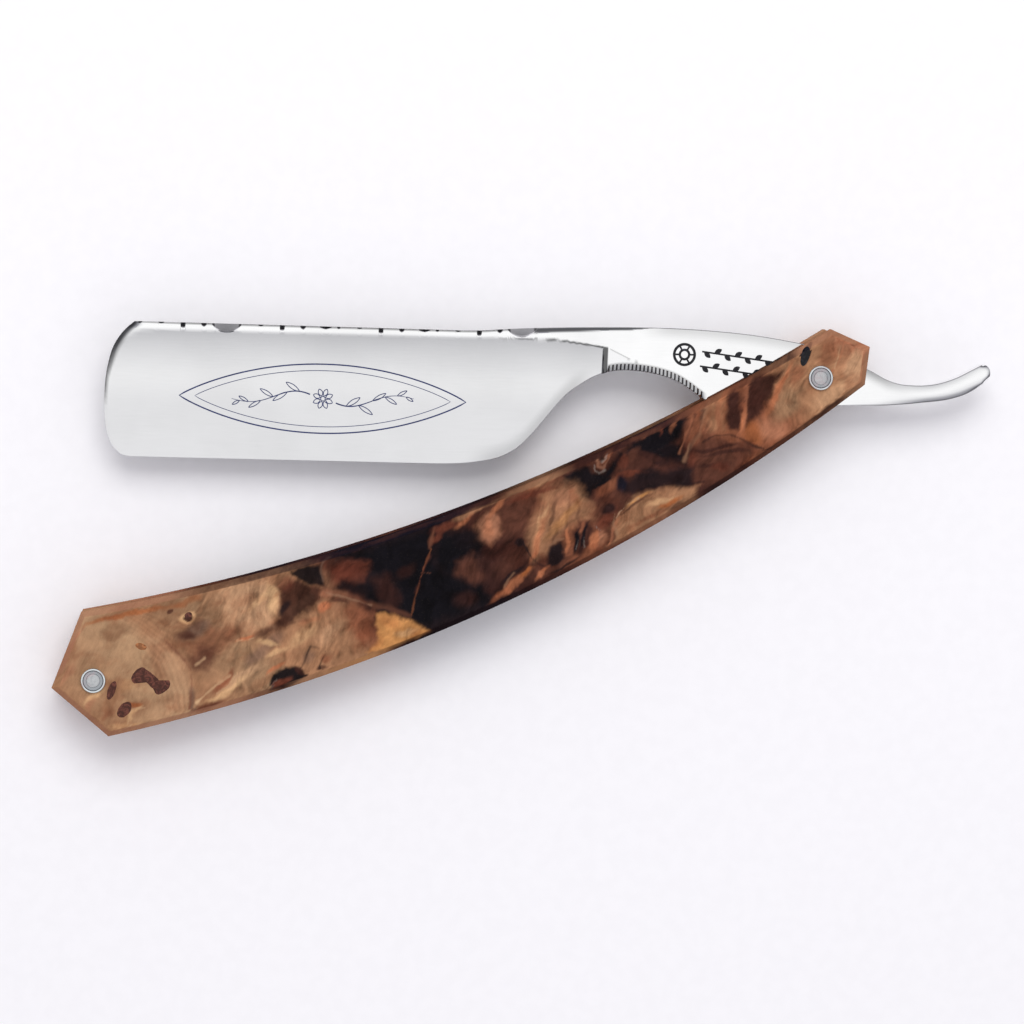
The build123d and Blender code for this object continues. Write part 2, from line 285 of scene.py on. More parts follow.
def add_piece(name, points, faces, material, body, crease=30.0, replaces=(),
              colours=None, values=None):
    """A mesh piece from points in millimetres; equal points are merged and normals face out."""
    mesh = bpy.data.meshes.new(name)
    mesh.from_pydata((np.asarray(points) * MM).tolist(), [], [list(f) for f in faces])
    for key, data in (values or {}).items():
        attribute = mesh.attributes.new(key, "FLOAT", "POINT")
        attribute.data.foreach_set("value", np.asarray(data, np.float32).ravel())
    for key, data in (colours or {}).items():
        attribute = mesh.attributes.new(key, "FLOAT_COLOR", "POINT")
        rgba = np.ones((len(points), 4), np.float32)
        rgba[:, :3] = data
        attribute.data.foreach_set("color", rgba.ravel())
    shape = bmesh.new()
    shape.from_mesh(mesh)
    bmesh.ops.remove_doubles(shape, verts=shape.verts, dist=2e-7)
    bmesh.ops.dissolve_degenerate(shape, edges=shape.edges, dist=1e-8)
    bmesh.ops.recalc_face_normals(shape, faces=shape.faces)
    shape.to_mesh(mesh)
    shape.free()
    mesh.shade_smooth()
    mesh.set_sharp_from_angle(angle=radians(crease))
    mesh.materials.append(material)
    piece = bpy.data.objects.new(name, mesh)
    bpy.context.scene.collection.objects.link(piece)
    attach(piece, body)
    if replaces:
        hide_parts(*replaces)
    return piece


# ---- blade --------------------------------------------------------------------------------
SPINE_HALF, TANG_HALF, TAIL_HALF = 2.9, 2.25, 1.5
HOLLOW_Y, HOLLOW_HALF, EDGE_Y, EDGE_HALF = -7.0, 0.2, -16.2, 0.04
SHOULDER_X = -36.8
WALL_POINTS = 4                  # between the two faces, along the upper and the lower wall
NOSE = [(-115.8, 6.6), (-117.55, 5.0), (-119.1, 2.75), (-120.2, -0.8), (-120.7, -5.4),
        (-120.55, -9.6), (-120.0, -12.6), (-119.1, -14.6), (-117.9, -15.75), (-116.3, -16.2)]
UNDER = [(-116.3, -16.2), (-100.0, -16.2), (-80.0, -16.2), (-68.0, -16.2), (-63.4, -16.17),
         (-60.0, -16.0), (-56.4, -15.5), (-54.2, -15.0), (-52.2, -14.1), (-50.4, -12.85),
         (-48.7, -11.1), (-46.5, -8.45), (-44.3, -5.7), (-42.5, -3.8), (-40.5, -2.3),
         (-38.7, -1.15), (-36.8, -0.3), (-34.0, 0.33), (-30.8, 0.3), (-27.3, -0.2),
         (-24.2, -1.15), (-21.8, -2.5), (-19.5, -4.1), (-17.2, -5.15), (-14.5, -5.6),
         (-10.0, -5.6), (-6.0, -5.4), (0.0, -4.85), (5.9, -4.6), (12.5, -4.4), (17.8, -3.9),
         (23.6, -3.0), (26.0, -2.15), (27.8, -1.1), (29.4, 0.0)]
UPPER = [(-115.8, 6.6), (-100.0, 6.557), (-80.0, 6.503), (-63.0, 6.458), (-60.0, 6.45),
         (-57.0, 6.56), (-53.6, 6.85), (-46.0, 7.3), (-37.5, 7.6), (-30.0, 7.75), (-24.0, 7.72),
         (-17.5, 7.45), (-11.3, 6.95), (-5.5, 6.15), (0.0, 5.1), (5.0, 3.3), (9.3, 1.3),
         (12.4, -0.23), (14.3, -0.75), (16.4, -0.92), (20.4, -0.63), (24.3, 0.65), (26.6, 1.85),
         (28.75, 3.0)]
TAIL_TIP = [(28.75, 3.0), (29.35, 3.0), (29.95, 2.5), (30.2, 1.6), (29.95, 0.6), (29.4, 0.0)]
NOSE_X = NOSE[0][0]              # where the nose curve leaves the straight spine
# filed decoration of the spine: offset in one repeat, file radius, depth
FILE_CUTS = ((0.0, 0.42, 0.70), (3.5, 0.50, 0.48), (9.5, 0.38, 0.30), (13.0, 0.9, 0.22))
SCALLOP, SHALLOW = (3.79, 1.10), (2.2, 0.36)
VINE_FIRST, VINE_REPEAT = -124.3, 16.6
TOOTH_PITCH, TOOTH_FROM, TOOTH_TO = 0.72, -35.65, -19.6
FACET_X, FACET_W = (-54.0, -48.5, -37.0, -32.0, -29.0, -26.0), (0.0, 0.95, 0.62, 0.48, 0.16, 0.0)
RELIEF = (np.array([-35.6, 3.95]), np.array([-28.8, 0.75]))
# width of the painted shade crescent along the nose, at each height
NOSE_SHADE_Y, NOSE_SHADE_W = (-9.0, -5.0, 0.0, 3.0, 5.5, 6.6), (0.1, 0.4, 1.2, 1.5, 1.0, 0.5)


def vine(side):
    """(x, file radius, depth) of each cut along one edge of the spine."""
    cuts = []
    for repeat in range(5):
        start = VINE_FIRST + repeat * VINE_REPEAT + (0.0 if side > 0 else VINE_REPEAT / 2)
        wide = SCALLOP if repeat % 3 == 1 else SHALLOW
        for offset, radius, depth in FILE_CUTS + ((7.3,) + wide,):
            if -115.6 < start + offset < -50.5:
                cuts.append((start + offset, radius, depth))
    return cuts


def chamfer_leg(x, side, least):
    """Leg of the 45 degree cut at x: root two times the depth of the round file's section."""
    leg = np.full_like(x, least)
    for centre, radius, depth in vine(side):
        inside = np.clip(radius ** 2 - (x - centre) ** 2, 0, None)
        below = np.where(inside > 0, depth - radius + np.sqrt(inside), 0)
        leg = np.maximum(leg, sqrt(2) * below)
    return leg


def cut_width(x, side):
    """1 inside a wide scallop, 0 elsewhere: the scallops are left from a coarser file."""
    wide = np.zeros_like(x)
    for centre, radius, depth in vine(side):
        if radius > 3:
            reach = sqrt(radius ** 2 - (radius - depth) ** 2)
            wide = np.maximum(wide, smooth(reach + 0.05, reach - 0.1, np.abs(x - centre)))
    return wide


def stock_half(x):
    """Half thickness of the forging: full at the spine, parallel at the pivot, thin at the tail."""
    first = smooth(-47.4, -31.0, x)
    last = smooth(8.0, 38.0, x)
    return SPINE_HALF + (TANG_HALF - SPINE_HALF) * first + (TAIL_HALF - TANG_HALF) * last


def hollow_half(y, radius):
    """Half thickness in the grind: an arc of the wheel above HOLLOW_Y, a straight taper below."""
    rise = np.clip(y - HOLLOW_Y, 0, radius * 0.95)
    arc = HOLLOW_HALF + radius - np.sqrt(radius ** 2 - rise ** 2)
    taper = mix(EDGE_HALF, HOLLOW_HALF, np.clip((y - EDGE_Y) / (HOLLOW_Y - EDGE_Y), 0, 1))
    return np.where(y > HOLLOW_Y, arc, taper)


def shank_half(x, y, stock):
    """The shank with its relief facet, which falls away at 10 degrees from a slanting line."""
    high, low = RELIEF
    line = (low - high) / np.linalg.norm(low - high)
    beyond = (x - high[0]) * line[1] - (y - high[1]) * line[0]
    curve = 0.045 * np.clip(x + 28.8, 0, None) ** 2
    drop = np.clip(beyond - curve, 0, None) * tan(radians(10)) * -1
    return np.where((x > SHOULDER_X) & (x < -24.0), stock + np.where(beyond > 0, drop, 0), stock)


def half_thickness(x, y, radius):
    """Smaller of the shank and the grind, which stops in the shoulder's one millimetre slope."""
    stock = stock_half(x)
    shank = shank_half(x, y, stock)
    hollow = hollow_half(y, radius)
    slope = np.clip((x - SHOULDER_X) / 1.0, 0, None) * SPINE_HALF
    return np.minimum(shank, np.minimum(stock, hollow + slope))


def blade_rows():
    """Where the cross sections stand along x, closer together where there is detail."""
    rows = [[NOSE_X], np.arange(-115.0, 28.4, 0.55)]
    turn = np.cos(np.linspace(0, pi, 9))
    for side in (1, -1):
        for centre, radius, depth in vine(side):
            reach = sqrt(max(radius ** 2 - (radius - depth) ** 2, 0)) if depth < radius else radius
            rows.append(centre + reach * turn)
            rows.append(centre + (reach + 0.03) * np.array([-1, 1]))
    teeth = np.arange(TOOTH_FROM, TOOTH_TO, TOOTH_PITCH * 0.92 / 8)
    rows += [teeth, np.arange(-37.2, -35.4, 0.12), np.arange(24, 28.6, 0.25)]
    xs = np.unique(np.round(np.concatenate(rows), 3))
    keep = np.concatenate([[True], np.diff(xs) > 0.02])
    xs = xs[keep]
    return xs[(xs >= NOSE_X) & (xs <= 28.6)]


def chain_at(points, x):
    """The point of a long outline curve at each x, along a densely sampled spline."""
    fine = spline(points, np.linspace(0, 1, 6000))
    order = np.argsort(fine[:, 0])
    return np.interp(x, fine[order, 0], fine[order, 1])


def blade_plan(rows_x):
    """Ends of every row in plan, on the upper outline and on the lower one."""
    top = np.stack([rows_x, chain_at(UPPER, rows_x)], -1)
    span = smooth(NOSE_X, -108.0, rows_x)
    low_x = mix(rows_x - 0.5, rows_x, span) + smooth(24, 28.75, rows_x) * 0.65
    low = np.stack([low_x, chain_at(UNDER, low_x)], -1)
    return top, low


def build_blade():
    """Sections of the blade as closed loops: front face, lower wall, rear face, upper wall."""
    settings = bpy.context.scene.razor_blade
    least, radius = settings.edge_break, settings.hollow_radius
    xs = blade_rows()
    top, low = blade_plan(xs)
    height = np.linalg.norm(top - low, axis=1)
    leg = {side: chamfer_leg(xs, side, least) for side in (1, -1)}
    chamfer = np.array([0.0, 0.2, 0.45, 0.7, 1.0])
    beyond = np.array([0.05, 0.14, 0.3, 0.5, 0.8, 1.15])
    inner = np.linspace(0, 1, 25)[:-1]
    lower = np.array([1.5, 1.15, 0.85, 0.6, 0.42, 0.28, 0.18, 0.1, 0.04, 0.0])
    reach = np.minimum(1.0, height / 4.6)
    sides = {}
    for side in (1, -1):
        leg_s = np.minimum(leg[side], height * 0.4)[:, None]
        depth = np.concatenate([
            leg_s * chamfer,
            leg_s + beyond * reach[:, None],
            mix(leg_s + (1.15 + 0.35) * reach[:, None],
                height[:, None] - 1.9 * reach[:, None], inner),
            height[:, None] - lower * reach[:, None]], 1)
        share = depth / height[:, None]
        plan = top[:, None] * (1 - share[..., None]) + low[:, None] * share[..., None]
        plan = bend_ends(plan, share, xs)
        sides[side] = (plan, share, depth, leg_s)
    return finish_blade(sides, height, least, radius)


def bend_ends(plan, share, xs):
    """Adds the bow of the nose and of the tail tip, each fading along the blade."""
    nose = spline(NOSE, share[0])
    straight = mix(np.array(NOSE[0]), np.array(NOSE[-1]), share[0][:, None])
    bow = nose - straight
    fade = (1 - smooth(-115.8, -107.0, xs)) ** 1.0
    plan = plan + bow[None] * fade[:, None, None] * np.array([1.0, 1.0])
    tip = spline(TAIL_TIP, share[-1])
    straight = mix(np.array(TAIL_TIP[0]), np.array(TAIL_TIP[-1]), share[-1][:, None])
    fade = smooth(25.5, 28.75, xs)
    return plan + (tip - straight)[None] * fade[:, None, None]


def outline_distance(plan, chain):
    """Distance of each plan point to a densely sampled outline curve."""
    flat = plan.reshape(-1, 2)
    fine = spline(chain, np.linspace(0, 1, 400))
    best = np.full(len(flat), 1e9)
    for first, second in zip(fine[:-1], fine[1:]):
        run = second - first
        t = np.clip(((flat - first) @ run) / (run @ run), 0, 1)
        gap = flat - first - t[:, None] * run
        best = np.minimum(best, np.einsum("ij,ij->i", gap, gap))
    return np.sqrt(best).reshape(plan.shape[:2])


def cut_ends(x, side):
    """1 at the torn ends of a wide scallop, 0 elsewhere."""
    ends = np.zeros_like(x)
    for centre, radius, depth in vine(side):
        if radius > 3:
            reach = sqrt(radius ** 2 - (radius - depth) ** 2)
            ends = np.maximum(ends, smooth(0.42, 0.15, np.abs(np.abs(x - centre) - reach + 0.42)))
    return ends


def steel_shade(x, y, depth, below, radius):
    """Painted shade on the steel, 0 to 1: thin dark lines along edges, facets that face away painted dark,
    soft painted bands.
    """
    tail = smooth(8.0, 12.0, x)
    # painted shade: dark lines along the spine's top, the shank's top facet and edge, and the tail's lower
    # edge
    line = 0.52 * smooth(0.40, 0.26, depth) * smooth(-48.0, -54.0, x)
    facet = np.interp(x, FACET_X, FACET_W)
    line = np.maximum(line, 0.74 * smooth(1.0, 0.80, depth / np.maximum(facet, 0.01)) * (facet > 0.02))
    line = np.maximum(line, 0.72 * smooth(0.17, 0.09, depth) * smooth(-30.0, -26.0, x))
    line = np.maximum(line, tail * 0.72 * smooth(0.16, 0.10, below))
    # painted shade: a dark line where the hollow meets the full stock, a stripe on the shoulder's slope
    # and a line along the relief facet
    grind = hollow_half(y, radius) - stock_half(x)
    rim = smooth(0.10, 0.03, np.abs(grind + 0.06)) * smooth(-62.0, -42.0, x) * (x < SHOULDER_X)
    step = smooth(-36.85, -36.7, x) * smooth(-35.85, -36.0, x) * smooth(0.05, -0.05, grind)
    high, low = RELIEF
    run = (low - high) / np.linalg.norm(low - high)
    beyond = (x - high[0]) * run[1] - (y - high[1]) * run[0] - 0.045 * np.clip(x - low[0], 0, None) ** 2
    relief = smooth(0.16, 0.02, np.abs(beyond)) * smooth(-35.8, -35.4, x) * smooth(-26.5, -29.0, x)
    # painted shade in soft bands: under the shank's top edge, near the scale on the tang and tail, along
    # the heel and over the hollow
    soft = 0.26 * smooth(2.4, 0.1, depth) * smooth(-32.0, -24.0, x) * smooth(10.0, 2.0, x)
    soft = soft + 0.50 * smooth(2.4, 0.0, depth) * smooth(3.0, 6.0, x) * smooth(17.0, 8.0, x)
    soft = soft + 0.22 * smooth(3.2, 0.2, below) * smooth(-60.0, -54.0, x) * smooth(-38.0, -42.0, x)
    soft = soft + 0.10 * smooth(7.0, 10.0, x) * smooth(1.6, 0.0, depth)
    soft = soft + 0.10 * smooth(0.0, -0.12, grind) * (x < SHOULDER_X)
    shade = np.maximum.reduce([line, 0.88 * rim, 0.86 * step, 0.42 * relief])
    return np.clip(np.maximum(shade, soft), 0, 1)


def finish_blade(sides, height, least, radius):
    """Thickness, filed edges and end bevels of both faces, joined into closed sections.

    The values for the steel go with the points: filed, ground and dark, which is painted shade.
    """
    cut, ground, dark = [], [], []
    loops = []
    for side in (1, -1):
        plan, share, depth, leg = sides[side]
        x, y = plan[..., 0], plan[..., 1]
        half = half_thickness(x, y, radius)
        stock_top = half[:, :1]
        # the filed edge: a 45 degree plane over the cut's width
        plane = stock_top - np.clip(leg - depth, 0, None)
        half = np.where(depth < leg, np.minimum(half, plane), half)
        # facet along the top of the shank, widest where the straight spine ends
        facet = np.interp(x, FACET_X, FACET_W)
        half = half - 0.55 * np.clip(facet - depth, 0, None)
        # crown of the tail and its lower chamfer
        crown = smooth(2.0, 22.0, x) * 0.42
        half = half - crown * (2 * share - 1) ** 2 * np.where(share < 0.5, 0.8, 1.0)
        tail = smooth(3.0, 9.0, x)
        below = height[:, None] - depth
        width = mix(0.3, 0.95, smooth(5, 20, x))
        half = half - tail * np.clip(width - below, 0, None) * 0.13
        # finger serrations on the bevelled lower edge of the shank
        zone = smooth(TOOTH_FROM - 0.6, TOOTH_FROM, x) * smooth(TOOTH_TO + 0.6, TOOTH_TO, x)
        wave = np.abs(((x - TOOTH_FROM) / (TOOTH_PITCH * 0.92)) % 1.0 * 2 - 1)
        bevel = np.clip(1.05 - below, 0, None) * 0.30
        tooth = smooth(0.62, 0.97, wave) * smooth(1.12, 0.95, below) * 0.36
        half = half - zone * (bevel + tooth)
        # broken lower edge everywhere the stock is thick
        round_ = np.minimum(least * 1.3, half * 0.35)
        lift = np.clip(round_ - below, 0, round_)
        half = half - (round_ - np.sqrt(np.clip(round_ ** 2 - lift ** 2, 0, None)))
        # bevelled nose
        gap = outline_distance(plan[:140], NOSE)
        near = np.full_like(half, 9.0)
        near[:140] = gap
        width = 0.46 * half + 0.03
        q = np.clip(near / width, 0, 1)
        half = half - 0.58 * width * (1 - q) ** 1.35
        # painted shade: the steel_shade bands, the nose's dark crescent, the serrations' gaps, the top
        # line of their band and the band itself
        shade = steel_shade(x, y, depth, below, radius)
        crescent = np.interp(y, NOSE_SHADE_Y, NOSE_SHADE_W)
        shade = np.maximum(shade, 0.86 * smooth(1.15, 0.25, near / crescent) * smooth(-9.0, -4.0, y))
        shade = np.maximum(shade, 0.66 * zone * smooth(0.55, 0.9, wave) * smooth(1.12, 0.95, below))
        shade = np.maximum(shade, 0.60 * zone * smooth(0.16, 0.05, np.abs(below - 1.06)))
        shade = np.maximum(shade, 0.36 * zone * smooth(1.12, 0.95, below))
        tip = outline_distance(plan[-40:], TAIL_TIP)
        near = np.full_like(half, 9.0)
        near[-40:] = tip
        q = np.clip(near / 0.9, 0, 1)
        half = half - 0.75 * (1 - np.sqrt(1 - (1 - q) ** 2)) * np.where(half > 0.8, 1, 0)
        half = np.clip(half, 0.03, None)
        loops.append(np.stack([x, y, MID + side * half], -1))
        wide = cut_width(x, side) * (depth < leg * 0.999)
        deep = (depth < leg) & (leg > least * 1.5)
        cut.append(np.where(deep, 0.35 + 0.65 * wide, 0))
        # painted shade in the filed cuts: narrow notches near black, wide scallops grey, the scallops'
        # ends darker
        filed = mix(0.985, 0.40, wide)
        filed = np.maximum(filed, 0.9 * cut_ends(x, side) * wide)
        dark.append(np.where(deep, filed, shade))
        ground.append(smooth(-1.0, -7.5, y) * smooth(SHOULDER_X, SHOULDER_X - 1.2, x))
    front, rear = loops
    walls = np.linspace(0, 1, WALL_POINTS + 2)[1:-1][None, :, None]
    bottom = mix(front[:, -1:], rear[:, -1:], walls)
    upper = mix(rear[:, :1], front[:, :1], walls)
    # a section runs round the front face, lower wall, rear face and upper wall
    loop = np.concatenate([front, bottom, rear[:, ::-1], upper], 1)
    rows, columns = loop.shape[:2]
    faces = loop_faces(rows, columns).tolist()
    faces += end_walls(front.shape[1], rows, columns)
    points = loop.reshape(-1, 3)
    zero = np.zeros((rows, WALL_POINTS))
    cut = np.concatenate([cut[0], zero, cut[1][:, ::-1], zero], 1)
    dark = np.concatenate([dark[0], zero, dark[1][:, ::-1], zero], 1)
    ground = np.concatenate([ground[0], zero, ground[1][:, ::-1], zero], 1)
    return points, faces, cut.ravel(), ground.ravel(), dark.ravel()


def end_walls(across, rows, columns):
    """Faces that close the nose and the tail tip, from the front face's end to the rear one's."""
    faces = []
    for row, turn in ((0, 1), (rows - 1, -1)):
        base = row * columns
        rear_start = across + WALL_POINTS
        for j in range(across - 1):
            a, b = base + j, base + j + 1
            c = base + rear_start + (across - 1 - (j + 1))
            d = base + rear_start + (across - 1 - j)
            faces.append([a, b, c, d][::turn])
        last = base + rear_start + across
        faces.append([base + across - 1] + [base + across + k for k in range(WALL_POINTS)]
                     + [base + rear_start])
        faces.append([last - 1] + [last + k for k in range(WALL_POINTS)] + [base])
    return faces


def steel_material(name):
    """Polished steel: the hollow finely lined, filed cuts rougher, painted shade from the dark attribute.
    """
    shader = Shader(name)
    lines = shader.noise(shader.place(stretch=(0.25, 9.0, 1.0)), 1.0, 4.0, 0.6)
    cross = shader.noise(shader.place(stretch=(6.0, 0.2, 1.0)), 1.0, 3.0, 0.6)
    haze = shader.noise(shader.place(), 0.08, 3.0, 0.5)
    tone = haze.ramp(0.3, 0.7, 0.97, 1.03)
    face = shader.attribute("ground", "Fac")
    filed = shader.attribute("filed", "Fac")
    base = shader.mix(face, (0.93, 0.93, 0.935), (0.80, 0.80, 0.815))
    base = shader.mix(filed, base, (0.74, 0.74, 0.75))
    rough = haze.ramp(0.35, 0.7, 0.05, 0.09)
    rough = rough + face * lines.ramp(0.3, 0.7, 0.015, 0.05) + filed * 0.50
    base = shader.mix(lines.ramp(0.25, 0.75, 0.0, 0.05), base, (0.35, 0.35, 0.37))
    tint = shader.node("ShaderNodeCombineColor", {}, {0: tone, 1: tone, 2: tone})
    base = shader.mix(1.0, base, tint, "MULTIPLY")
    # painted shade: the dark attribute takes the base colour down almost to black
    base = shader.mix(shader.attribute("dark", "Fac"), base, (0.008, 0.008, 0.010))
    height = lines * 0.7 + cross * 0.3
    return shader.set(base_color=base, metallic=1.0, roughness=rough,
                      normal=shader.bump(height, 0.0012, 0.6))


class RAZOR_OT_blade(bpy.types.Operator):
    """Hollow ground blade with its filed spine, shoulder, serrations, shank and tail"""

    bl_idname = "razor.blade"
    bl_label = "Blade"

    def execute(self, context):
        points, faces, cut, ground, dark = build_blade()
        material = steel_material("polished_steel")
        add_piece("razor_blade", points, faces, material, "blade", crease=26,
                  replaces=("blade",),
                  values={"filed": cut, "ground": ground, "dark": dark})
        return {"FINISHED"}


# ---- etching and stamp --------------------------------------------------------------------
def ribbon(path, width, lift, radius, closed=False):
    """A thin flat ribbon laid on the blade's front face along a path, given in x and y.

    Each cross section is square to the path and its height is the half thickness there.
    """
    p = np.asarray(path, float)
    ahead = np.roll(p, -1, 0) - np.roll(p, 1, 0) if closed else np.gradient(p, axis=0)
    ahead /= np.linalg.norm(ahead, axis=1)[:, None]
    side = np.stack([-ahead[:, 1], ahead[:, 0]], -1)
    width = np.broadcast_to(width, len(p))[:, None]
    edges = [p + side * width * k for k in (-0.5, -0.15, 0.15, 0.5)]
    rows = []
    for k, edge in enumerate(edges):
        z = MID + half_thickness(edge[:, 0], edge[:, 1], radius) + (lift if k in (1, 2) else 0.002)
        rows.append(np.concatenate([edge, z[:, None]], 1))
    for edge in (edges[3], edges[0]):
        z = MID + half_thickness(edge[:, 0], edge[:, 1], radius) - 0.02
        rows.append(np.concatenate([edge, z[:, None]], 1))
    grid = np.stack(rows, 1)
    if closed:
        grid = np.concatenate([grid, grid[:1]], 0)
    faces = loop_faces(*grid.shape[:2]).tolist()
    if not closed:
        last = (len(grid) - 1) * 6
        faces += [list(range(6))[::-1], list(range(last, last + 6))]
    return grid.reshape(-1, 3), faces


def join(parts):
    """Several point and face lists as one."""
    points, faces, start = [], [], 0
    for part_points, part_faces in parts:
        points.append(part_points)
        faces += [[k + start for k in face] for face in part_faces]
        start += len(part_points)
    return np.concatenate(points), faces


def arc_path(centre, size, start, end, count=40, turn=0.0):
    """Points of an ellipse arc: centre plus size times cosine and sine, then turned."""
    t = np.linspace(start, end, count)
    x, y = size[0] * np.cos(t), size[1] * np.sin(t)
    return np.stack([centre[0] + x * cos(turn) - y * sin(turn),
                     centre[1] + x * sin(turn) + y * cos(turn)], -1)


def pointed_oval(centre, half_length, half_height, count=60):
    """Two arcs that meet in points: height times (1 - u squared) over u from -1 to 1."""
    u = np.concatenate([np.linspace(-1, 1, count), np.linspace(1, -1, count)[1:-1]])
    sign = np.concatenate([np.ones(count), -np.ones(count - 2)])
    return np.stack([centre[0] + half_length * u,
                     centre[1] + sign * half_height * (1 - u * u) ** 0.9], -1)


def leaf(start, end, bulge, count=24):
    """Closed leaf outline along a line: sideways bulge times sine of pi u, to the power 0.8."""
    a, b = np.array(start, float), np.array(end, float)
    u = np.linspace(0, 1, count)
    side = np.array([-(b - a)[1], (b - a)[0]]) / np.linalg.norm(b - a)
    swell = bulge * np.sin(pi * u) ** 0.8
    there = a + (b - a) * u[:, None] + side * swell[:, None]
    back = a + (b - a) * u[::-1][1:-1, None] - side * swell[::-1][1:-1, None]
    return np.concatenate([there, back])


def etched_ornament(radius):
    """Pointed double oval with a small scroll and leaf spray inside."""
    centre = (-83.95, -5.7)
    parts = [ribbon(pointed_oval(centre, 24.2, 5.85), 0.24, 0.012, radius, True),
             ribbon(pointed_oval(centre, 21.6, 4.75), 0.12, 0.012, radius, True)]
    stem = np.linspace(-1, 1, 90)
    for side in (1, -1):
        x = centre[0] + side * (2.2 + 6.6 * (stem + 1))
        y = centre[1] + 0.85 * np.sin(stem * 2.6) * side * (1.15 - 0.4 * stem)
        path = np.stack([x, y], -1)
        parts.append(ribbon(path, 0.20 * (1.2 - 0.8 * (stem + 1) / 2), 0.012, radius))
        for k, (at, reach, up) in enumerate(((12, 2.3, 1.5), (26, 2.4, -1.5), (42, 2.2, 1.3),
                                             (56, 2.0, -1.2), (70, 1.6, 0.9), (80, 1.2, -0.7))):
            tip = path[at] + np.array([side * reach, up])
            parts.append(ribbon(leaf(path[at], tip, 0.36 - 0.03 * k), 0.15, 0.012, radius, True))
    for k in range(8):
        angle = k * pi / 4 + pi / 8
        tip = np.array(centre) + 1.75 * np.array([cos(angle), sin(angle)])
        root = np.array(centre) + 0.5 * np.array([cos(angle), sin(angle)])
        parts.append(ribbon(leaf(root, tip, 0.36), 0.15, 0.012, radius, True))
    parts.append(ribbon(arc_path(centre, (0.38, 0.38), 0, 2 * pi, 25)[:-1], 0.15, 0.012, radius, True))
    return join(parts)


def stamped_mark(radius):
    """Rosette of rings with two leaf sprigs, struck into the shank."""
    centre = np.array([-22.9, 3.35])
    turn = radians(-7)
    parts = []
    for size, width in ((1.75, 0.46), (0.80, 0.42)):
        parts.append(ribbon(arc_path(centre, (size, size), 0, 2 * pi, 49)[:-1], width, 0.012,
                            radius, True))
    for k in range(6):
        angle = k * pi / 3
        way = np.array([cos(angle), sin(angle)])
        parts.append(ribbon(np.array([centre + way * r for r in (0.9, 1.2, 1.6)]), 0.32, 0.012,
                            radius))
    ahead, up = np.array([cos(turn), sin(turn)]), np.array([-sin(turn), cos(turn)])
    for lift, start, end in ((0.95, 2.9, 18.6), (-1.55, 2.9, 16.6)):
        base = centre + up * lift
        line = np.array([base + ahead * k for k in np.linspace(start, end, 40)])
        parts.append(ribbon(line, 0.30, 0.012, radius))
        for k in range(int((end - start) / 1.75)):
            root = base + ahead * (start + 0.4 + 1.75 * k)
            side = 1 if k % 2 else -1
            tip = root + ahead * 1.15 + up * side * 0.85
            blade_line = root + (tip - root) * np.linspace(0, 1, 12)[:, None]
            swell = 0.06 + 0.78 * np.sin(pi * np.linspace(0, 1, 12)) ** 0.8
            parts.append(ribbon(blade_line, swell, 0.012, radius))
    return join(parts)


def ink_material(name, colour, rough):
    """Etched ink: matt, a little uneven in tone."""
    shader = Shader(name)
    grain = shader.noise(shader.place(), 6.0, 4.0, 0.6)
    wear = shader.noise(shader.place(), 0.6, 3.0, 0.6)
    base = shader.mix(grain.ramp(0.35, 0.75), colour, tuple(c * 2.4 + 0.01 for c in colour))
    base = shader.mix(wear.ramp(0.62, 0.8, 0.0, 0.35), base, (0.25, 0.26, 0.32))
    return shader.set(base_color=base, metallic=0.0, roughness=grain.ramp(0.3, 0.7, rough, rough + 0.2),
                      specular_ior_level=0.2)


class RAZOR_OT_markings(bpy.types.Operator):
    """Etched ornament on the blade and struck rosette on the shank, both free of lettering"""

    bl_idname = "razor.markings"
    bl_label = "Etching and stamp"

    def execute(self, context):
        settings = context.scene.razor_blade
        points, faces = etched_ornament(settings.hollow_radius)
        add_piece("blade_etching", points, faces, ink_material("etched_blue", tuple(settings.etching),
            0.45),
                  "blade")
        points, faces = stamped_mark(settings.hollow_radius)
        add_piece("shank_stamp", points, faces, ink_material("stamped_black", (0.010, 0.010, 0.012), 0.5),
                  "blade")
        return {"FINISHED"}


# ---- burl ---------------------------------------------------------------------------------
# glint is the tone of painted highlights on knots and pits
TONES = {
    "black": (14, 13, 18), "coal": (27, 20, 23), "umber": (56, 33, 29), "brown": (84, 52, 42),
    "red": (98, 54, 42), "rust": (124, 78, 58), "tan": (152, 113, 86), "sand": (178, 142, 112),
    "cream": (206, 168, 128), "gold": (186, 134, 86), "orange": (158, 95, 60),
    "flame": (172, 110, 80), "olive": (146, 116, 90), "pale": (172, 140, 110),
    "grey": (116, 90, 76), "salmon": (160, 112, 88), "glint": (150, 138, 128),
    "amber": (132, 84, 50), "ink": (20, 21, 32), "garnet": (66, 34, 25),
}
# broad ground of the figure: (distance along the scale, tone)
GROUND = ((-10, "salmon"), (-4, "tan"), (4, "tan"), (9, "rust"), (18, "rust"), (22, "brown"),
          (28, "umber"), (44, "brown"), (50, "rust"), (57, "brown"), (64, "umber"), (68, "coal"),
          (84, "coal"), (88, "brown"), (93, "tan"), (104, "tan"), (110, "olive"), (118, "tan"),
          (122, "pale"), (140, "tan"))
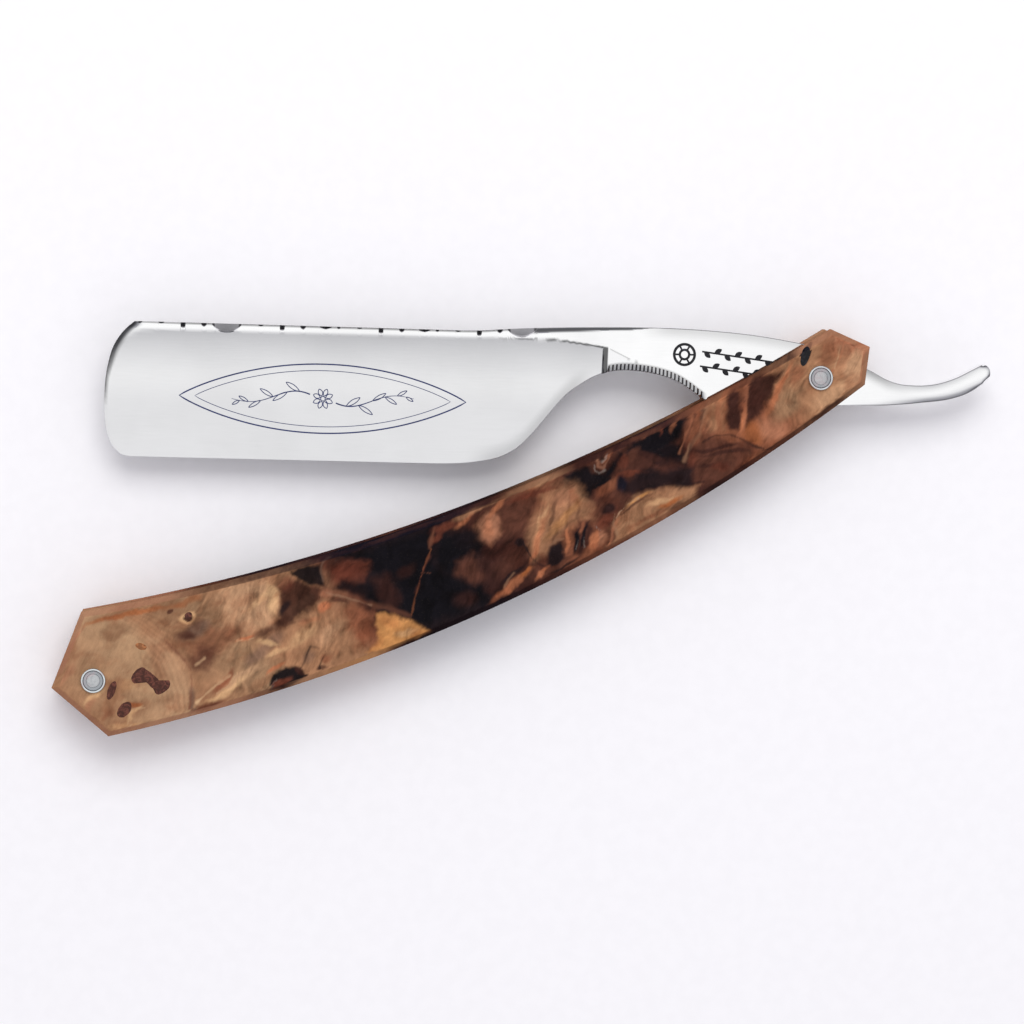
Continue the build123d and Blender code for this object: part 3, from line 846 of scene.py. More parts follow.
# regions with their own outline: (points along and across, tone, softness in mm, strength)
REGIONS = (
    (((5.7, -4.0), (10.0, -4.8), (13.2, -1.8), (14.2, 0.6), (15.2, 3.3), (13.8, 3.2), (11, 1.2),
      (8.4, -0.8), (6.4, -2.8)), "umber", 0.45, 0.95),
    (((14.0, -4.2), (16.0, -2.6), (17.0, 0.6), (17.2, 2.0), (15.6, 3.8), (14.9, 0.6), (13.6, -2.0)),
     "umber", 0.4, 0.97),
    (((15.6, -5.0), (19.5, -4.8), (21.4, -2.0), (20.8, 1.4), (18.0, 1.8), (17.3, -1.0)), "tan", 0.8, 0.7),
    (((19.4, -4.0), (23.0, -3.2), (24.6, 0.0), (24.0, 2.2), (21.6, 1.6), (20.2, -1.0)), "rust", 0.8, 0.8),
    (((13, 7.0), (16.0, 5.2), (18.4, 3.4), (21.0, 2.7), (25.0, 3.8), (27, 6.4), (26, 9.4), (19, 9.4)),
     "brown", 0.7, 0.85),
    (((23.2, -2.8), (26.0, -3.4), (30.2, -2.6), (33.4, -1.8), (35.0, -0.6), (31.0, 1.0), (27.0, 0.6),
      (24.6, -0.4)), "black", 0.5, 0.97),
    (((26.6, 0.8), (30.4, 0.2), (31.4, 2.4), (28.6, 2.8), (27.0, 4.4), (26.0, 2.6)), "black", 0.5, 0.9),
    (((25.6, 5.2), (30.0, 4.0), (36.6, 3.6), (39.2, 4.8), (37.0, 6.4), (31.0, 6.8), (27.0, 8.4)),
     "coal", 0.6, 0.9),
    (((35.8, -1.2), (38.0, 0.3), (40.2, 1.0), (42.2, 0.4), (42.6, -1.4), (46.6, -1.8), (47.2, 0.0),
      (45.2, 1.4), (45.4, 3.8), (43.8, 3.8), (42.6, 2.4), (39.4, 2.2), (38.0, 1.4), (36.2, 0.2)),
     "black", 0.4, 0.96),
    (((26.0, 9.2), (30.6, 7.2), (33.6, 6.8), (37.4, 6.6), (40.4, 7.8), (42.4, 10.4), (44.6, 13.2),
      (36, 13.4), (27, 11.4)), "tan", 0.5, 0.92),
    (((44.8, 0.6), (47.4, -0.6), (51.4, 0.0), (52.4, 2.0), (55.4, 4.6), (57.0, 7.6), (56.4, 10.0),
      (53.6, 8.8), (50.8, 7.8), (48.4, 7.0), (45.4, 6.8), (44.4, 4.0)), "tan", 0.8, 0.72),
    (((51.8, -0.6), (57.4, -0.8), (59.8, 1.4), (60.8, 3.6), (57.6, 4.8), (55.2, 3.8), (52.6, 1.4)),
     "brown", 0.8, 0.85),
    (((57.2, 4.6), (62.4, 4.2), (65.8, 5.2), (66.6, 9.2), (65.0, 12.6), (60.4, 10.8), (57.0, 10.0)),
     "umber", 0.6, 0.75),
    (((45.4, 7.2), (47.2, 7.0), (48.6, 8.2), (49.6, 10.6), (49.0, 12.4), (46.8, 11.0), (45.6, 9.4)),
     "umber", 0.3, 0.95),
    (((50.8, 8.6), (52.6, 8.2), (53.8, 9.6), (54.4, 11.6), (53.2, 12.6), (51.2, 11.4)), "coal", 0.3, 0.98),
    (((60.0, 0.4), (61.4, -0.4), (64.2, 0.8), (64.4, 3.0), (63.0, 4.4), (60.8, 3.6), (59.8, 2.0)),
     "salmon", 0.6, 0.85),
    (((63.6, 1.6), (65.4, 0.2), (70.2, 0.6), (71.4, 4.0), (69.8, 7.6), (68.6, 11.2), (67.4, 13.6),
      (66.0, 12.6), (66.4, 9.4), (65.2, 5.6), (63.6, 4.4)), "black", 0.5, 0.9),
    (((66.0, 5.2), (68.6, 5.6), (69.6, 7.6), (67.6, 9.8), (65.6, 9.0)), "brown", 0.7, 0.8),
    (((70.4, -1.6), (80.0, -2.4), (86.0, -3.2), (84.0, -0.6), (81.6, 1.8), (82.4, 5.0), (84.8, 4.4),
      (83.0, 6.8), (79.8, 9.6), (78.4, 12.6), (72.2, 13.8), (68.0, 12.6), (70.2, 7.2), (72.4, 3.6)),
     "black", 0.6, 0.93),
    (((82.0, -0.4), (84.6, -1.8), (88.4, -2.6), (89.8, -0.4), (87.6, 1.6), (84.4, 2.0)), "red", 0.7, 0.75),
    (((80.4, 2.4), (83.0, 2.2), (83.2, 5.6), (81.6, 8.4), (80.0, 7.0)), "umber", 0.7, 0.7),
    (((83.0, 3.2), (88.0, 0.8), (89.6, 1.2), (87.4, 3.4), (84.6, 5.6), (82.6, 6.0)), "black", 0.5, 0.9),
    (((84.2, 7.8), (85.4, 9.4), (86.4, 12.0), (89.2, 13.6), (84.4, 14.8), (77.4, 14.8), (78.2, 13.0),
      (80.4, 10.8), (82.2, 8.8)), "gold", 0.35, 0.98),
    (((84.8, 7.4), (87.6, 5.2), (90.4, 5.2), (91.0, 9.0), (90.0, 12.6), (87.6, 12.8), (86.0, 9.8)),
     "rust", 0.7, 0.85),
    (((90.2, 5.4), (93.4, 4.6), (98.6, 5.6), (101.6, 8.6), (98.4, 10.6), (93.6, 13.4), (90.4, 12.4)),
     "tan", 0.8, 0.8),
    (((91.2, 0.6), (94.8, -2.2), (98.8, -2.6), (99.4, 0.0), (100.2, 2.2), (103.8, 4.2), (98.2, 4.2),
      (95.0, 3.6), (92.4, 2.8)), "umber", 0.5, 0.9),
    (((90.0, -3.6), (95.2, -4.4), (94.6, -2.2), (92.8, -0.6), (91.2, 0.2), (90.6, -1.6)),
    "black", 0.3, 0.96),
    (((99.2, -5.0), (105, -5.8), (108.6, -5.2), (108.0, -1.6), (105.6, 2.4), (101.8, 3.4), (100.2, 0.6)),
     "sand", 0.8, 0.75),
    (((106.6, 0.4), (111.4, -1.4), (116.6, -0.2), (116.4, 3.4), (112.0, 3.8), (107.0, 3.0)),
    "rust", 1.0, 0.7),
    (((111.8, 2.0), (114.8, 1.4), (116.6, 3.0), (116.6, 5.6), (114.0, 6.0), (112.2, 4.2)),
    "brown", 0.8, 0.8),
    (((100.4, 11.6), (102.4, 10.6), (105.2, 11.4), (107.0, 13.4), (103.6, 14.4), (100.2, 13.4)),
     "black", 0.25, 0.98),
    (((117.6, 2.4), (119.4, -1.4), (121.4, -3.0), (122.0, 3.0), (122.6, 9.0), (119.6, 9.6), (117.6, 6.4)),
     "sand", 0.8, 0.7),
)
# patches painted over them in order: (along, across, length, width, turn, tone, softness, strength)
PATCHES = (
    (-6.2, 0.8, 5.5, 3.2, 50, "sand", 0.6, 0.8), (-1.4, 3.6, 8.5, 3.0, 6, "sand", 0.6, 0.65),
    (-2.6, -3.4, 5.0, 3.2, 50, "rust", 0.5, 0.65), (3.4, -2.2, 3.0, 2.4, 40, "rust", 0.6, 0.7),
    (6.8, 1.8, 6.4, 3.4, 30, "olive", 0.6, 0.7), (1.0, 5.9, 6.5, 1.3, 8, "umber", 0.7, 0.8),
    (7.2, -0.9, 9.5, 1.0, 43, "flame", 0.7, 0.9), (15.0, 1.8, 4.4, 0.8, 62, "flame", 0.7, 0.9),
    (14.0, 4.6, 3.6, 3.4, -30, "orange", 0.6, 0.6), (10.4, 4.8, 5.0, 3.4, -30, "salmon", 0.6, 0.55),
    (16.2, -3.6, 4.0, 1.0, 50, "flame", 0.7, 0.8), (18.4, -0.4, 5.5, 1.2, 80, "rust", 0.7, 0.7),
    (20.8, 4.4, 8.5, 0.8, -16, "umber", 0.6, 0.85), (19.6, 5.9, 8.0, 0.7, -20, "umber", 0.6, 0.8),
    (22.4, 6.9, 6.0, 0.8, -22, "umber", 0.6, 0.7), (21.6, 7.4, 3.0, 1.2, -20, "red", 0.7, 0.7),
    (17.6, 4.6, 3.2, 1.2, -38, "rust", 0.7, 0.7), (25.2, 4.4, 2.6, 1.8, 20, "red", 0.7, 0.6),
    (30, -3.0, 9, 1.4, 4, "rust", 0.6, 0.8), (25.4, -2.6, 3.2, 0.7, 50, "rust", 0.7, 0.8),
    (27.2, -2.9, 3.0, 0.6, 50, "red", 0.7, 0.7), (34.0, 0.2, 3.4, 1.5, 30, "brown", 0.6, 0.7),
    (36.3, 0.8, 2.6, 1.8, 60, "red", 0.6, 0.6), (31.4, 1.2, 4.4, 1.2, -30, "umber", 0.7, 0.8),
    (35.6, 3.1, 5.4, 0.7, -14, "red", 0.7, 0.8), (33.2, 4.0, 3.6, 1.8, 0, "coal", 0.6, 0.8),
    (38.0, 3.8, 2.2, 2.0, 40, "ink", 0.5, 0.95), (40.6, 3.3, 4.2, 1.6, 12, "rust", 0.5, 0.7),
    (40.8, 5.2, 4.0, 2.2, 20, "brown", 0.6, 0.7), (42.1, 6.2, 2.6, 2.0, 10, "coal", 0.6, 0.85),
    (38.7, -1.5, 4.4, 1.5, 32, "rust", 0.5, 0.9), (39.4, -1.4, 1.8, 0.7, 40, "coal", 0.5, 0.8),
    (41.2, 2.2, 3.6, 0.8, 5, "black", 0.4, 0.95), (43.4, -2.4, 5, 0.8, 0, "umber", 0.7, 0.8),
    (36.6, 7.2, 4.4, 0.6, 6, "gold", 0.6, 0.85), (33.0, 9.0, 5.6, 1.0, -4, "cream", 0.7, 0.4),
    (31.6, 9.6, 4.4, 0.9, 6, "orange", 0.7, 0.9), (30.6, 10.6, 3.0, 1.0, 14, "umber", 0.7, 0.7),
    (35.8, 10.8, 8.0, 0.7, 8, "rust", 0.8, 0.7), (37.6, 7.9, 6.0, 0.5, 8, "umber", 0.7, 0.7),
    (43.2, 8.4, 3.4, 2.2, 30, "red", 0.6, 0.7), (45.2, 11.2, 3.0, 1.6, 30, "salmon", 0.6, 0.8),
    (43.0, 11.6, 2.6, 1.4, 50, "brown", 0.6, 0.8), (48.0, 1.4, 4.4, 2.4, 20, "salmon", 0.7, 0.5),
    (50.6, 3.4, 6.0, 0.7, 58, "umber", 0.8, 0.5),
    (48.2, 4.6, 6.0, 0.6, 62, "brown", 0.8, 0.5), (52.8, 4.0, 5.0, 0.5, 50, "cream", 0.8, 0.35),
    (46.6, 5.2, 4.0, 0.5, 70, "umber", 0.8, 0.45), (51.2, 6.6, 4.4, 0.6, 56, "umber", 0.8, 0.5),
    (46.2, 3.0, 1.6, 3.0, 0, "rust", 0.7, 0.6), (49.4, 5.4, 7.0, 1.6, 24, "gold", 0.7, 0.4),
    (54.2, 6.4, 6.5, 1.0, 52, "flame", 0.9, 0.55), (55.4, 8.4, 4.4, 0.7, 50, "flame", 0.9, 0.6),
    (53.6, -2.2, 14, 1.5, 1, "tan", 0.5, 0.9), (52.8, -0.5, 9, 0.9, 0, "red", 0.7, 0.85),
    (59.2, -0.9, 4.8, 0.9, 32, "flame", 0.9, 0.7), (61.6, -2.2, 4, 0.9, 40, "umber", 0.7, 0.7),
    (64.0, -1.9, 5, 1.1, 4, "tan", 0.7, 0.8), (65.6, -0.9, 3.2, 0.8, 16, "flame", 0.9, 0.7),
    (62.0, 2.0, 3.0, 1.6, 60, "flame", 0.8, 0.4), (57.7, 6.0, 1.5, 1.3, 0, "coal", 0.6, 0.9),
    (60.6, 8.8, 6.0, 3.2, 10, "brown", 0.8, 0.45), (61.4, 12.4, 7.4, 1.1, 12, "flame", 0.8, 0.8),
    (58.4, 11.6, 2.6, 0.8, 20, "orange", 0.6, 0.95), (60.4, 10.7, 5.0, 0.9, 16, "coal", 0.6, 0.8),
    (50.0, 9.0, 3.4, 0.7, 64, "flame", 0.6, 0.9), (46.2, 11.0, 3.4, 1.2, 48, "flame", 0.6, 0.9),
    (47.2, 9.4, 4.4, 0.6, 52, "black", 0.5, 0.9), (48.5, 9.6, 4.0, 0.7, 56, "black", 0.5, 0.95),
    (46.9, 7.9, 2.0, 0.8, 50, "rust", 0.6, 0.7), (54.0, 12.5, 6.4, 0.7, 14, "brown", 0.6, 0.9),
    (52.0, 12.8, 5.4, 0.5, 8, "black", 0.7, 0.8), (56.0, 12.6, 3.4, 0.7, 24, "flame", 0.6, 0.7),
    (68.6, -1.2, 4.4, 1.6, 8, "red", 0.6, 0.85), (70.6, 0.4, 2.4, 1.0, 40, "red", 0.7, 0.8),
    (70.0, 11.8, 4.0, 2.6, 0, "umber", 0.7, 0.6), (77.4, 3.4, 3.4, 2.0, 20, "umber", 0.7, 0.5),
    (75.0, -3.4, 14, 1.2, -3, "brown", 0.6, 0.75), (84.6, -4.0, 8, 0.8, -5, "umber", 0.6, 0.7),
    (83.2, 10.0, 3.4, 2.2, -35, "orange", 0.8, 0.35), (81.2, 12.9, 4.0, 1.2, -10, "cream", 0.7, 0.5),
    (92.4, 4.0, 2.6, 1.4, 20, "flame", 0.5, 0.9), (91.0, 1.6, 2.2, 1.8, -30, "salmon", 0.6, 0.7),
    (89.6, 3.6, 3.0, 1.0, -40, "brown", 0.6, 0.7), (93.2, 8.2, 5, 2.6, 10, "sand", 0.7, 0.5),
    (97.6, 7.0, 5.4, 2.0, 16, "cream", 0.7, 0.5), (95.4, 5.2, 3.0, 0.9, 0, "flame", 0.8, 0.4),
    (98.8, 1.2, 2.4, 1.4, 40, "coal", 0.6, 0.85), (97.0, -2.6, 3.4, 2.6, 0, "red", 0.7, 0.65),
    (100.0, -1.6, 1.6, 5.0, -12, "cream", 0.7, 0.7), (102.0, -2.2, 5.0, 1.2, 20, "cream", 0.8, 0.5),
    (102.2, 5.6, 4.0, 2.0, 14, "grey", 0.7, 0.7), (103.2, 5.6, 3.4, 0.9, -26, "cream", 0.6, 0.8),
    (106.0, 7.0, 4.6, 2.0, 20, "grey", 0.7, 0.75), (102.6, 7.6, 3.4, 1.0, 4, "cream", 0.7, 0.6),
    (106.6, 3.5, 3.4, 0.8, -4, "flame", 0.5, 0.95), (103.4, 3.6, 4, 1.2, 10, "brown", 0.7, 0.6),
    (114.0, -1.4, 5.4, 2.0, 6, "grey", 0.6, 0.9), (115.6, -1.2, 3.0, 1.2, -26, "brown", 0.7, 0.8),
    (112.6, 8.6, 5.2, 1.3, 16, "rust", 0.4, 0.97), (109.0, 9.2, 8, 1.4, 4, "sand", 0.6, 0.8),
    (113.2, 10.2, 9, 1.0, 8, "cream", 0.6, 0.7), (117.4, 11.2, 5.4, 1.2, 4, "red", 0.5, 0.85),
    (119.2, 9.6, 4.6, 1.1, 56, "grey", 0.6, 0.9), (113.4, -6.6, 5, 1.0, -8, "orange", 0.8, 0.5),
    (104.2, 10.3, 4.0, 0.9, 14, "flame", 0.4, 0.9), (104.4, 12.8, 3.6, 0.8, 10, "red", 0.5, 0.9),
    (105.6, 11.4, 2.6, 0.7, 34, "tan", 0.5, 0.8), (100.8, 12.2, 1.2, 1.6, 10, "umber", 0.5, 0.9),
    (107.6, 11.6, 4.0, 1.4, 10, "tan", 0.6, 0.7), (95.2, 11.4, 1.8, 1.6, 20, "rust", 0.6, 0.8),
    (96.4, 12.9, 2.2, 0.9, 0, "umber", 0.5, 0.8), (98.0, 10.6, 2.6, 1.6, 20, "grey", 0.7, 0.6),
    (123.6, -8.0, 14, 0.9, -9, "orange", 0.6, 0.75), (126, -6.0, 8, 2.4, -5, "olive", 0.7, 0.7),
    (128.0, 3.0, 3.0, 2.2, 20, "cream", 0.7, 0.5), (127.2, 7.2, 3.0, 2.0, 0, "rust", 0.8, 0.5),
    (127.6, 6.8, 2.0, 0.9, -16, "orange", 0.6, 0.8), (131.2, 9.0, 5.0, 0.9, -8, "cream", 0.6, 0.8),
    (132.4, 6.4, 2.6, 1.6, 20, "rust", 0.8, 0.6), (133.6, 2.8, 4.2, 0.9, 26, "cream", 0.7, 0.7),
    (135.2, 4.2, 3.4, 0.9, 30, "salmon", 0.7, 0.6), (128.4, 8.0, 3.6, 0.5, 22, "cream", 0.6, 0.8),
    (136.8, -2.0, 4.4, 1.6, 38, "salmon", 0.7, 0.6), (133.0, -7.6, 5.4, 0.8, 36, "salmon", 0.6, 0.7),
    (113.9, -4.0, 2.9, 1.9, 10, "cream", 0.4, 0.9), (113.9, -4.05, 1.6, 1.2, 10, "umber", 0.3, 0.98),
    (116.1, -6.2, 0.9, 0.7, 10, "brown", 0.4, 0.9), (123.2, 8.8, 5.0, 3.0, 0, "sand", 0.8, 0.6),
)
# lines drawn over the patches: (points along and across, width, tone, strength); the glint lines are
# painted highlights
STREAKS = (
    (((71.9, 1.6), (74.2, 3.8), (75.4, 5.2), (76.9, 7.2), (78.3, 9.1), (79.4, 10.8)), 0.24, "orange", 0.6),
    (((72.6, 2.4), (74.2, 3.9), (75.5, 5.3), (77.0, 7.3)), 0.5, "red", 0.55),
    (((75.0, 4.5), (74.4, 4.8), (73.6, 5.2)), 0.24, "rust", 0.7),
    (((70.2, -1.6), (70.9, -0.6), (71.6, 0.6), (72.2, 1.4)), 0.5, "rust", 0.6),
    (((91.2, 0.6), (89.0, 2.6), (86.8, 4.4), (84.4, 6.4), (81.8, 8.4), (79.6, 10.4)), 0.85, "rust", 0.75),
    (((91.0, 1.4), (88.6, 3.4), (86.4, 5.0), (84.8, 6.2)), 0.3, "sand", 0.55),
    (((88.2, 4.6), (89.8, 3.4), (91.4, 3.0), (92.4, 3.6)), 0.28, "umber", 0.8),
    (((88.2, -4.3), (89.6, -3.8), (90.4, -2.6), (90.9, -0.8)), 0.36, "grey", 0.8),
    (((11.0, -4.8), (12.6, -2.4), (14.0, 0.4), (15.4, 3.2)), 0.5, "flame", 0.75),
    (((12.0, 8.0), (14.8, 6.4), (16.2, 4.7), (17.9, 3.0), (20.2, 2.2), (22.6, 2.3)), 0.34, "black", 0.9),
    (((11.0, 8.2), (13.0, 7.5), (15.0, 6.2)), 0.4, "coal", 0.7),
    (((18.6, -4.6), (20.6, -1.8), (22.8, 0.9), (25.0, 2.4), (26.8, 4.0)), 0.55, "tan", 0.55),
    (((20.6, -4.2), (23.0, -1.6), (25.2, 0.9), (27.0, 2.6)), 0.5, "flame", 0.5),
    (((19.6, -3.6), (22.0, -0.4), (24.2, 1.8), (25.8, 3.6)), 0.34, "umber", 0.6),
    (((21.8, -2.6), (24.2, 0.2), (26.4, 2.2)), 0.3, "umber", 0.6),
    (((20.2, -0.6), (22.0, 1.2), (23.4, 2.4)), 0.3, "umber", 0.5),
    (((25.0, 8.6), (27.4, 8.1), (29.4, 7.3), (32.6, 6.2), (35.3, 5.7)), 0.5, "black", 0.9),
    (((57.0, 5.8), (57.1, 7.4), (56.8, 9.4), (56.0, 10.8), (55.0, 11.8)), 0.3, "coal", 0.9),
    (((60.6, 10.6), (61.8, 11.3), (63.2, 12.4)), 0.24, "tan", 0.8),
    (((119.5, -5.0), (119.2, -2.8), (118.8, -0.9), (117.9, 1.1), (117.4, 2.7), (117.0, 4.4),
      (117.7, 6.9), (118.8, 8.6), (120.2, 11.0)), 0.24, "rust", 0.85),
    (((118.8, -0.9), (118.3, 0.2), (117.8, 1.4), (117.4, 2.7)), 0.55, "red", 0.75),
    (((111.4, 8.1), (114.2, 8.6), (116.4, 9.4), (118.4, 10.2)), 0.32, "cream", 0.95),
    (((110.6, 8.6), (112.6, 9.5), (114.6, 9.9)), 0.24, "cream", 0.7),
    (((105.2, 3.8), (106.4, 3.7), (108.0, 3.2)), 0.28, "cream", 0.8),
    (((114.2, 3.7), (115.0, 3.9), (115.9, 4.2)), 0.42, "cream", 0.97),
    (((94.9, 10.4), (95.8, 11.3), (96.9, 12.4), (96.9, 13.3), (95.0, 13.8), (93.9, 14.1)),
     0.30, "coal", 0.85),
    (((95.8, 9.7), (96.9, 8.9), (98.0, 9.7), (99.1, 11.0), (100.0, 11.6)), 0.30, "coal", 0.8),
    (((-6.4, -4.4), (-5.0, -2.5), (-3.5, -0.9), (-2.1, -0.1)), 0.42, "flame", 0.85),
    (((-5.3, -3.7), (-4.1, -2.1), (-2.7, -0.4)), 0.3, "cream", 0.6),
    (((37.4, -2.2), (38.4, -1.0), (39.8, 0.0), (40.7, -0.5), (40.2, -1.6)), 0.4, "salmon", 0.8),
    (((38.3, -1.9), (38.9, -1.2), (39.6, -1.0)), 0.35, "glint", 0.8),
    (((41.2, -0.9), (41.5, -0.1), (40.9, 0.6), (39.8, 0.5)), 0.28, "glint", 0.75),
    (((36.2, -0.9), (37.6, 0.3), (39.4, 1.2), (41.6, 1.3)), 0.5, "black", 0.9),
    (((47.4, 9.6), (47.7, 10.4), (48.0, 11.2)), 0.2, "glint", 0.6),
    (((48.4, 9.6), (48.8, 10.2), (49.3, 10.8)), 0.2, "glint", 0.5),
    (((50.6, 8.5), (51.8, 8.2), (53.1, 8.5)), 0.3, "tan", 0.8),
    (((96.0, 4.6), (98.8, 3.9), (101.6, 3.9), (104.4, 4.9)), 0.5, "brown", 0.6),
    (((44.9, 8.4), (44.6, 9.2), (44.2, 9.8)), 0.2, "glint", 0.5),
    (((40.9, 9.0), (42.5, 10.6), (44.1, 12.8)), 0.42, "flame", 0.9),
    (((41.0, 7.6), (41.8, 9.2), (41.9, 11.4)), 0.25, "olive", 0.6),
    (((36.2, 7.0), (38.6, 7.2), (40.2, 7.8), (41.0, 8.6)), 0.25, "sand", 0.7),
    (((104.6, 12.0), (105.4, 12.3), (106.2, 12.9)), 0.16, "glint", 0.4),
    (((126.6, 7.6), (128.4, 7.1), (129.4, 8.0), (130.6, 9.4), (132.6, 9.9)), 0.3, "cream", 0.7),
)
PIVOT_SLOT = (0.5, -5.0, 4.8, 1.5, 52)
EYES = ((113.9, -4.0, 1.6), (39.6, -1.0, 2.2), (42.2, 6.1, 2.0), (47.4, 9.4, 2.0),
        (26.6, -1.4, 2.6), (61.6, 1.4, 3.0))


def patch_distance(s, n, patch):
    """Distance from a patch's centre in units of its half length and half width."""
    along, across, length, width, turn = patch[:5]
    c, d = cos(radians(turn)), sin(radians(turn))
    a = ((s - along) * c + (n - across) * d) / (length / 2)
    b = (-(s - along) * d + (n - across) * c) / (width / 2)
    return np.sqrt(a * a + b * b)


def line_distance(s, n, points):
    """Distance to a polyline, the least over its segments."""
    best = np.full(s.shape, 1e9)
    for (s0, n0), (s1, n1) in zip(points[:-1], points[1:]):
        ds, dn = s1 - s0, n1 - n0
        t = np.clip(((s - s0) * ds + (n - n0) * dn) / (ds * ds + dn * dn), 0, 1)
        best = np.minimum(best, np.hypot(s - s0 - t * ds, n - n0 - t * dn))
    return best


def region_distance(s, n, points):
    """Distance to a region's outline, negative inside; inside is an odd count of crossings."""
    inside = np.zeros(s.shape, bool)
    for (s0, n0), (s1, n1) in zip(points, points[1:] + points[:1]):
        crosses = (n0 > n) != (n1 > n)
        at = s0 + (n - n0) * (s1 - s0) / (n1 - n0 if n1 != n0 else 1e-9)
        inside ^= crosses & (s < at)
    return np.where(inside, -1, 1) * line_distance(s, n, points + points[:1])


def burl(s, n, seed, stir):
    """Colour of the burl at a point: ground tones, regions, patches, fibres and streaks.

    The coordinates are pushed about by clouds of three sizes, so every edge wanders, then the
    regions and patches are laid on in order with soft edges.
    """
    push_s = 0.7 * cloud(s / 6, n / 6, seed, 2) + 0.40 * cloud(s / 1.9, n / 1.9, seed + 20, 4, 0.5)
    push_n = 0.7 * cloud(s / 6, n / 6, seed + 10, 2) + 0.40 * cloud(s / 1.9, n / 1.9, seed + 30, 4, 0.5)
    u, v = s + stir * push_s, n + stir * push_n
    places = np.array([place for place, _ in GROUND], float)
    tones = linear([TONES[tone] for _, tone in GROUND])
    ground_s = u + 0.35 * (v - 3) + 1.2 * cloud(s / 5, n / 5, seed + 90, 3)
    colour = np.stack([np.interp(ground_s, places, tones[:, k]) for k in range(3)], -1)
    for points, tone, soft, strength in REGIONS:
        gap = region_distance(u, v, points)
        ragged = 0.30 * cloud(s / 0.8, n / 0.8, seed + 37, 3, 0.7)
        cover = strength * smooth(soft * 1.5, -soft * 1.5, gap + ragged * soft)[..., None]
        colour = mix(colour, linear(TONES[tone]), cover)
    for patch in PATCHES:
        tone, soft, strength = patch[5:]
        reach = patch_distance(u, v, patch)
        cover = strength * smooth(1 + soft * 0.8, 1 - soft * 0.8, reach)[..., None]
        colour = mix(colour, linear(TONES[tone]), cover)
    colour = fibres(s, n, u, v, seed, colour)
    for points, width, tone, strength in STREAKS:
        wander = 0.14 * cloud(s / 0.9, n / 0.9, seed + 33, 3)
        gap = line_distance(s + 0.3 * (u - s), n + 0.3 * (v - n), points) + wander * 0.6
        thin = width * (0.75 + 0.5 * lattice_noise(s / 1.3, n / 1.3, seed + 34))
        fade = 0.55 + 0.6 * smooth(0.35, 0.6, lattice_noise(s / 2.1 + 5, n / 2.1, seed + 35))
        cover = strength * (np.clip(fade, 0, 1) * smooth(1.25, 0.0, gap / thin))[..., None]
        colour = mix(colour, linear(TONES[tone]), cover)
    slot = smooth(1.12, 0.92, patch_distance(s, n, PIVOT_SLOT))[..., None]
    return mix(colour, linear((12, 12, 20)), slot * 0.96)


def fibres(s, n, u, v, seed, colour):
    """Light and dark lines along the grain, figure across it, and rings round the eyes."""
    lean = radians(46)
    swing = 2.6 * cloud(s / 9, n / 9, seed + 40, 3)
    along = s * cos(lean) + n * sin(lean)
    across = -s * sin(lean) + n * cos(lean) + swing
    fine = cloud(along / 2.6 + 3, across / 0.34, seed + 50, 3, 0.75)
    flame = cloud(along / 3.0, across / 1.1 + 0.9 * cloud(u / 3, v / 3, seed + 60, 2), seed + 70, 4, 0.6)
    mottle = cloud(s / 0.7, n / 0.7, seed + 75, 3, 0.7)
    rings = 0.0
    for along_e, across_e, size in EYES:
        r = np.hypot(u - along_e, (v - across_e) * 1.3)
        rings = rings + np.sin(r * 7.5 / size ** 0.5) * np.exp(-(r / size) ** 2)
    bow = s - 0.035 * (n - 4.5) ** 2 + 0.5 * cloud(s / 4, n / 4, seed + 80, 3)
    growth = np.sin(bow * 7.0) * smooth(117.0, 119.0, s) * smooth(127.0, 121.0, s)
    calm = 1 - 0.55 * smooth(108.0, 118.0, s)
    drift = cloud(u / 4.2 + 11, v / 3.0, seed + 95, 4, 0.6)
    value = 1 + calm * (0.09 * fine + 0.26 * flame + 0.07 * mottle)
    value = value + 0.20 * drift + 0.18 * rings + 0.08 * growth
    redder = linear((255, 205, 190))
    rich = colour.mean(-1, keepdims=True)
    rich = np.clip(rich + (colour - rich) * 1.06, 0, 1) * np.array([1.0, 0.985, 0.945])
    warm = rich * mix(1.0, redder, 0.32 * np.clip(-drift, 0, 1)[..., None])
    return np.clip(warm * np.clip(value, 0.35, 1.9)[..., None], 0, 1)


# ---- scales -------------------------------------------------------------------------------
TOP_ARC, BOTTOM_ARC = (51.1, -361.3, 358.8), (76.6, -308.9, 323.8)
PIVOT_END, WEDGE_END = (-4.9, -9.9, -1.6, -6.7), (130.3, 139.8, -1.5, 134.2)
BEVEL_WIDTH, BEVEL_DEPTH = 0.95, 0.75


def arc_n(arc, s, grow=0.0):
    """Height of a long edge at the distance s, its radius changed by grow."""
    centre_s, centre_n, radius = arc
    return centre_n + np.sqrt((radius + grow) ** 2 - (s - centre_s) ** 2)


def inset_corner(tip, corner, arc, inset, sign):
    """Where the end line from tip to corner, moved in by inset, meets the moved arc."""
    tip, corner = np.array(tip), np.array(corner)
    run = (corner - tip) / np.linalg.norm(corner - tip)
    inward = np.array([-run[1], run[0]])
    inward = inward if inward @ (np.array([60.0, 3.0]) - tip) > 0 else -inward
    start = tip + inward * inset
    centre = np.array([arc[0], arc[1]])
    radius = arc[2] + sign * inset
    offset = start - centre
    b, c = offset @ run, offset @ offset - radius ** 2
    roots = [-b + sqrt(b * b - c), -b - sqrt(b * b - c)]
    near = min(roots, key=lambda t: np.linalg.norm(start + run * t - corner))
    return start + run * near, start, run


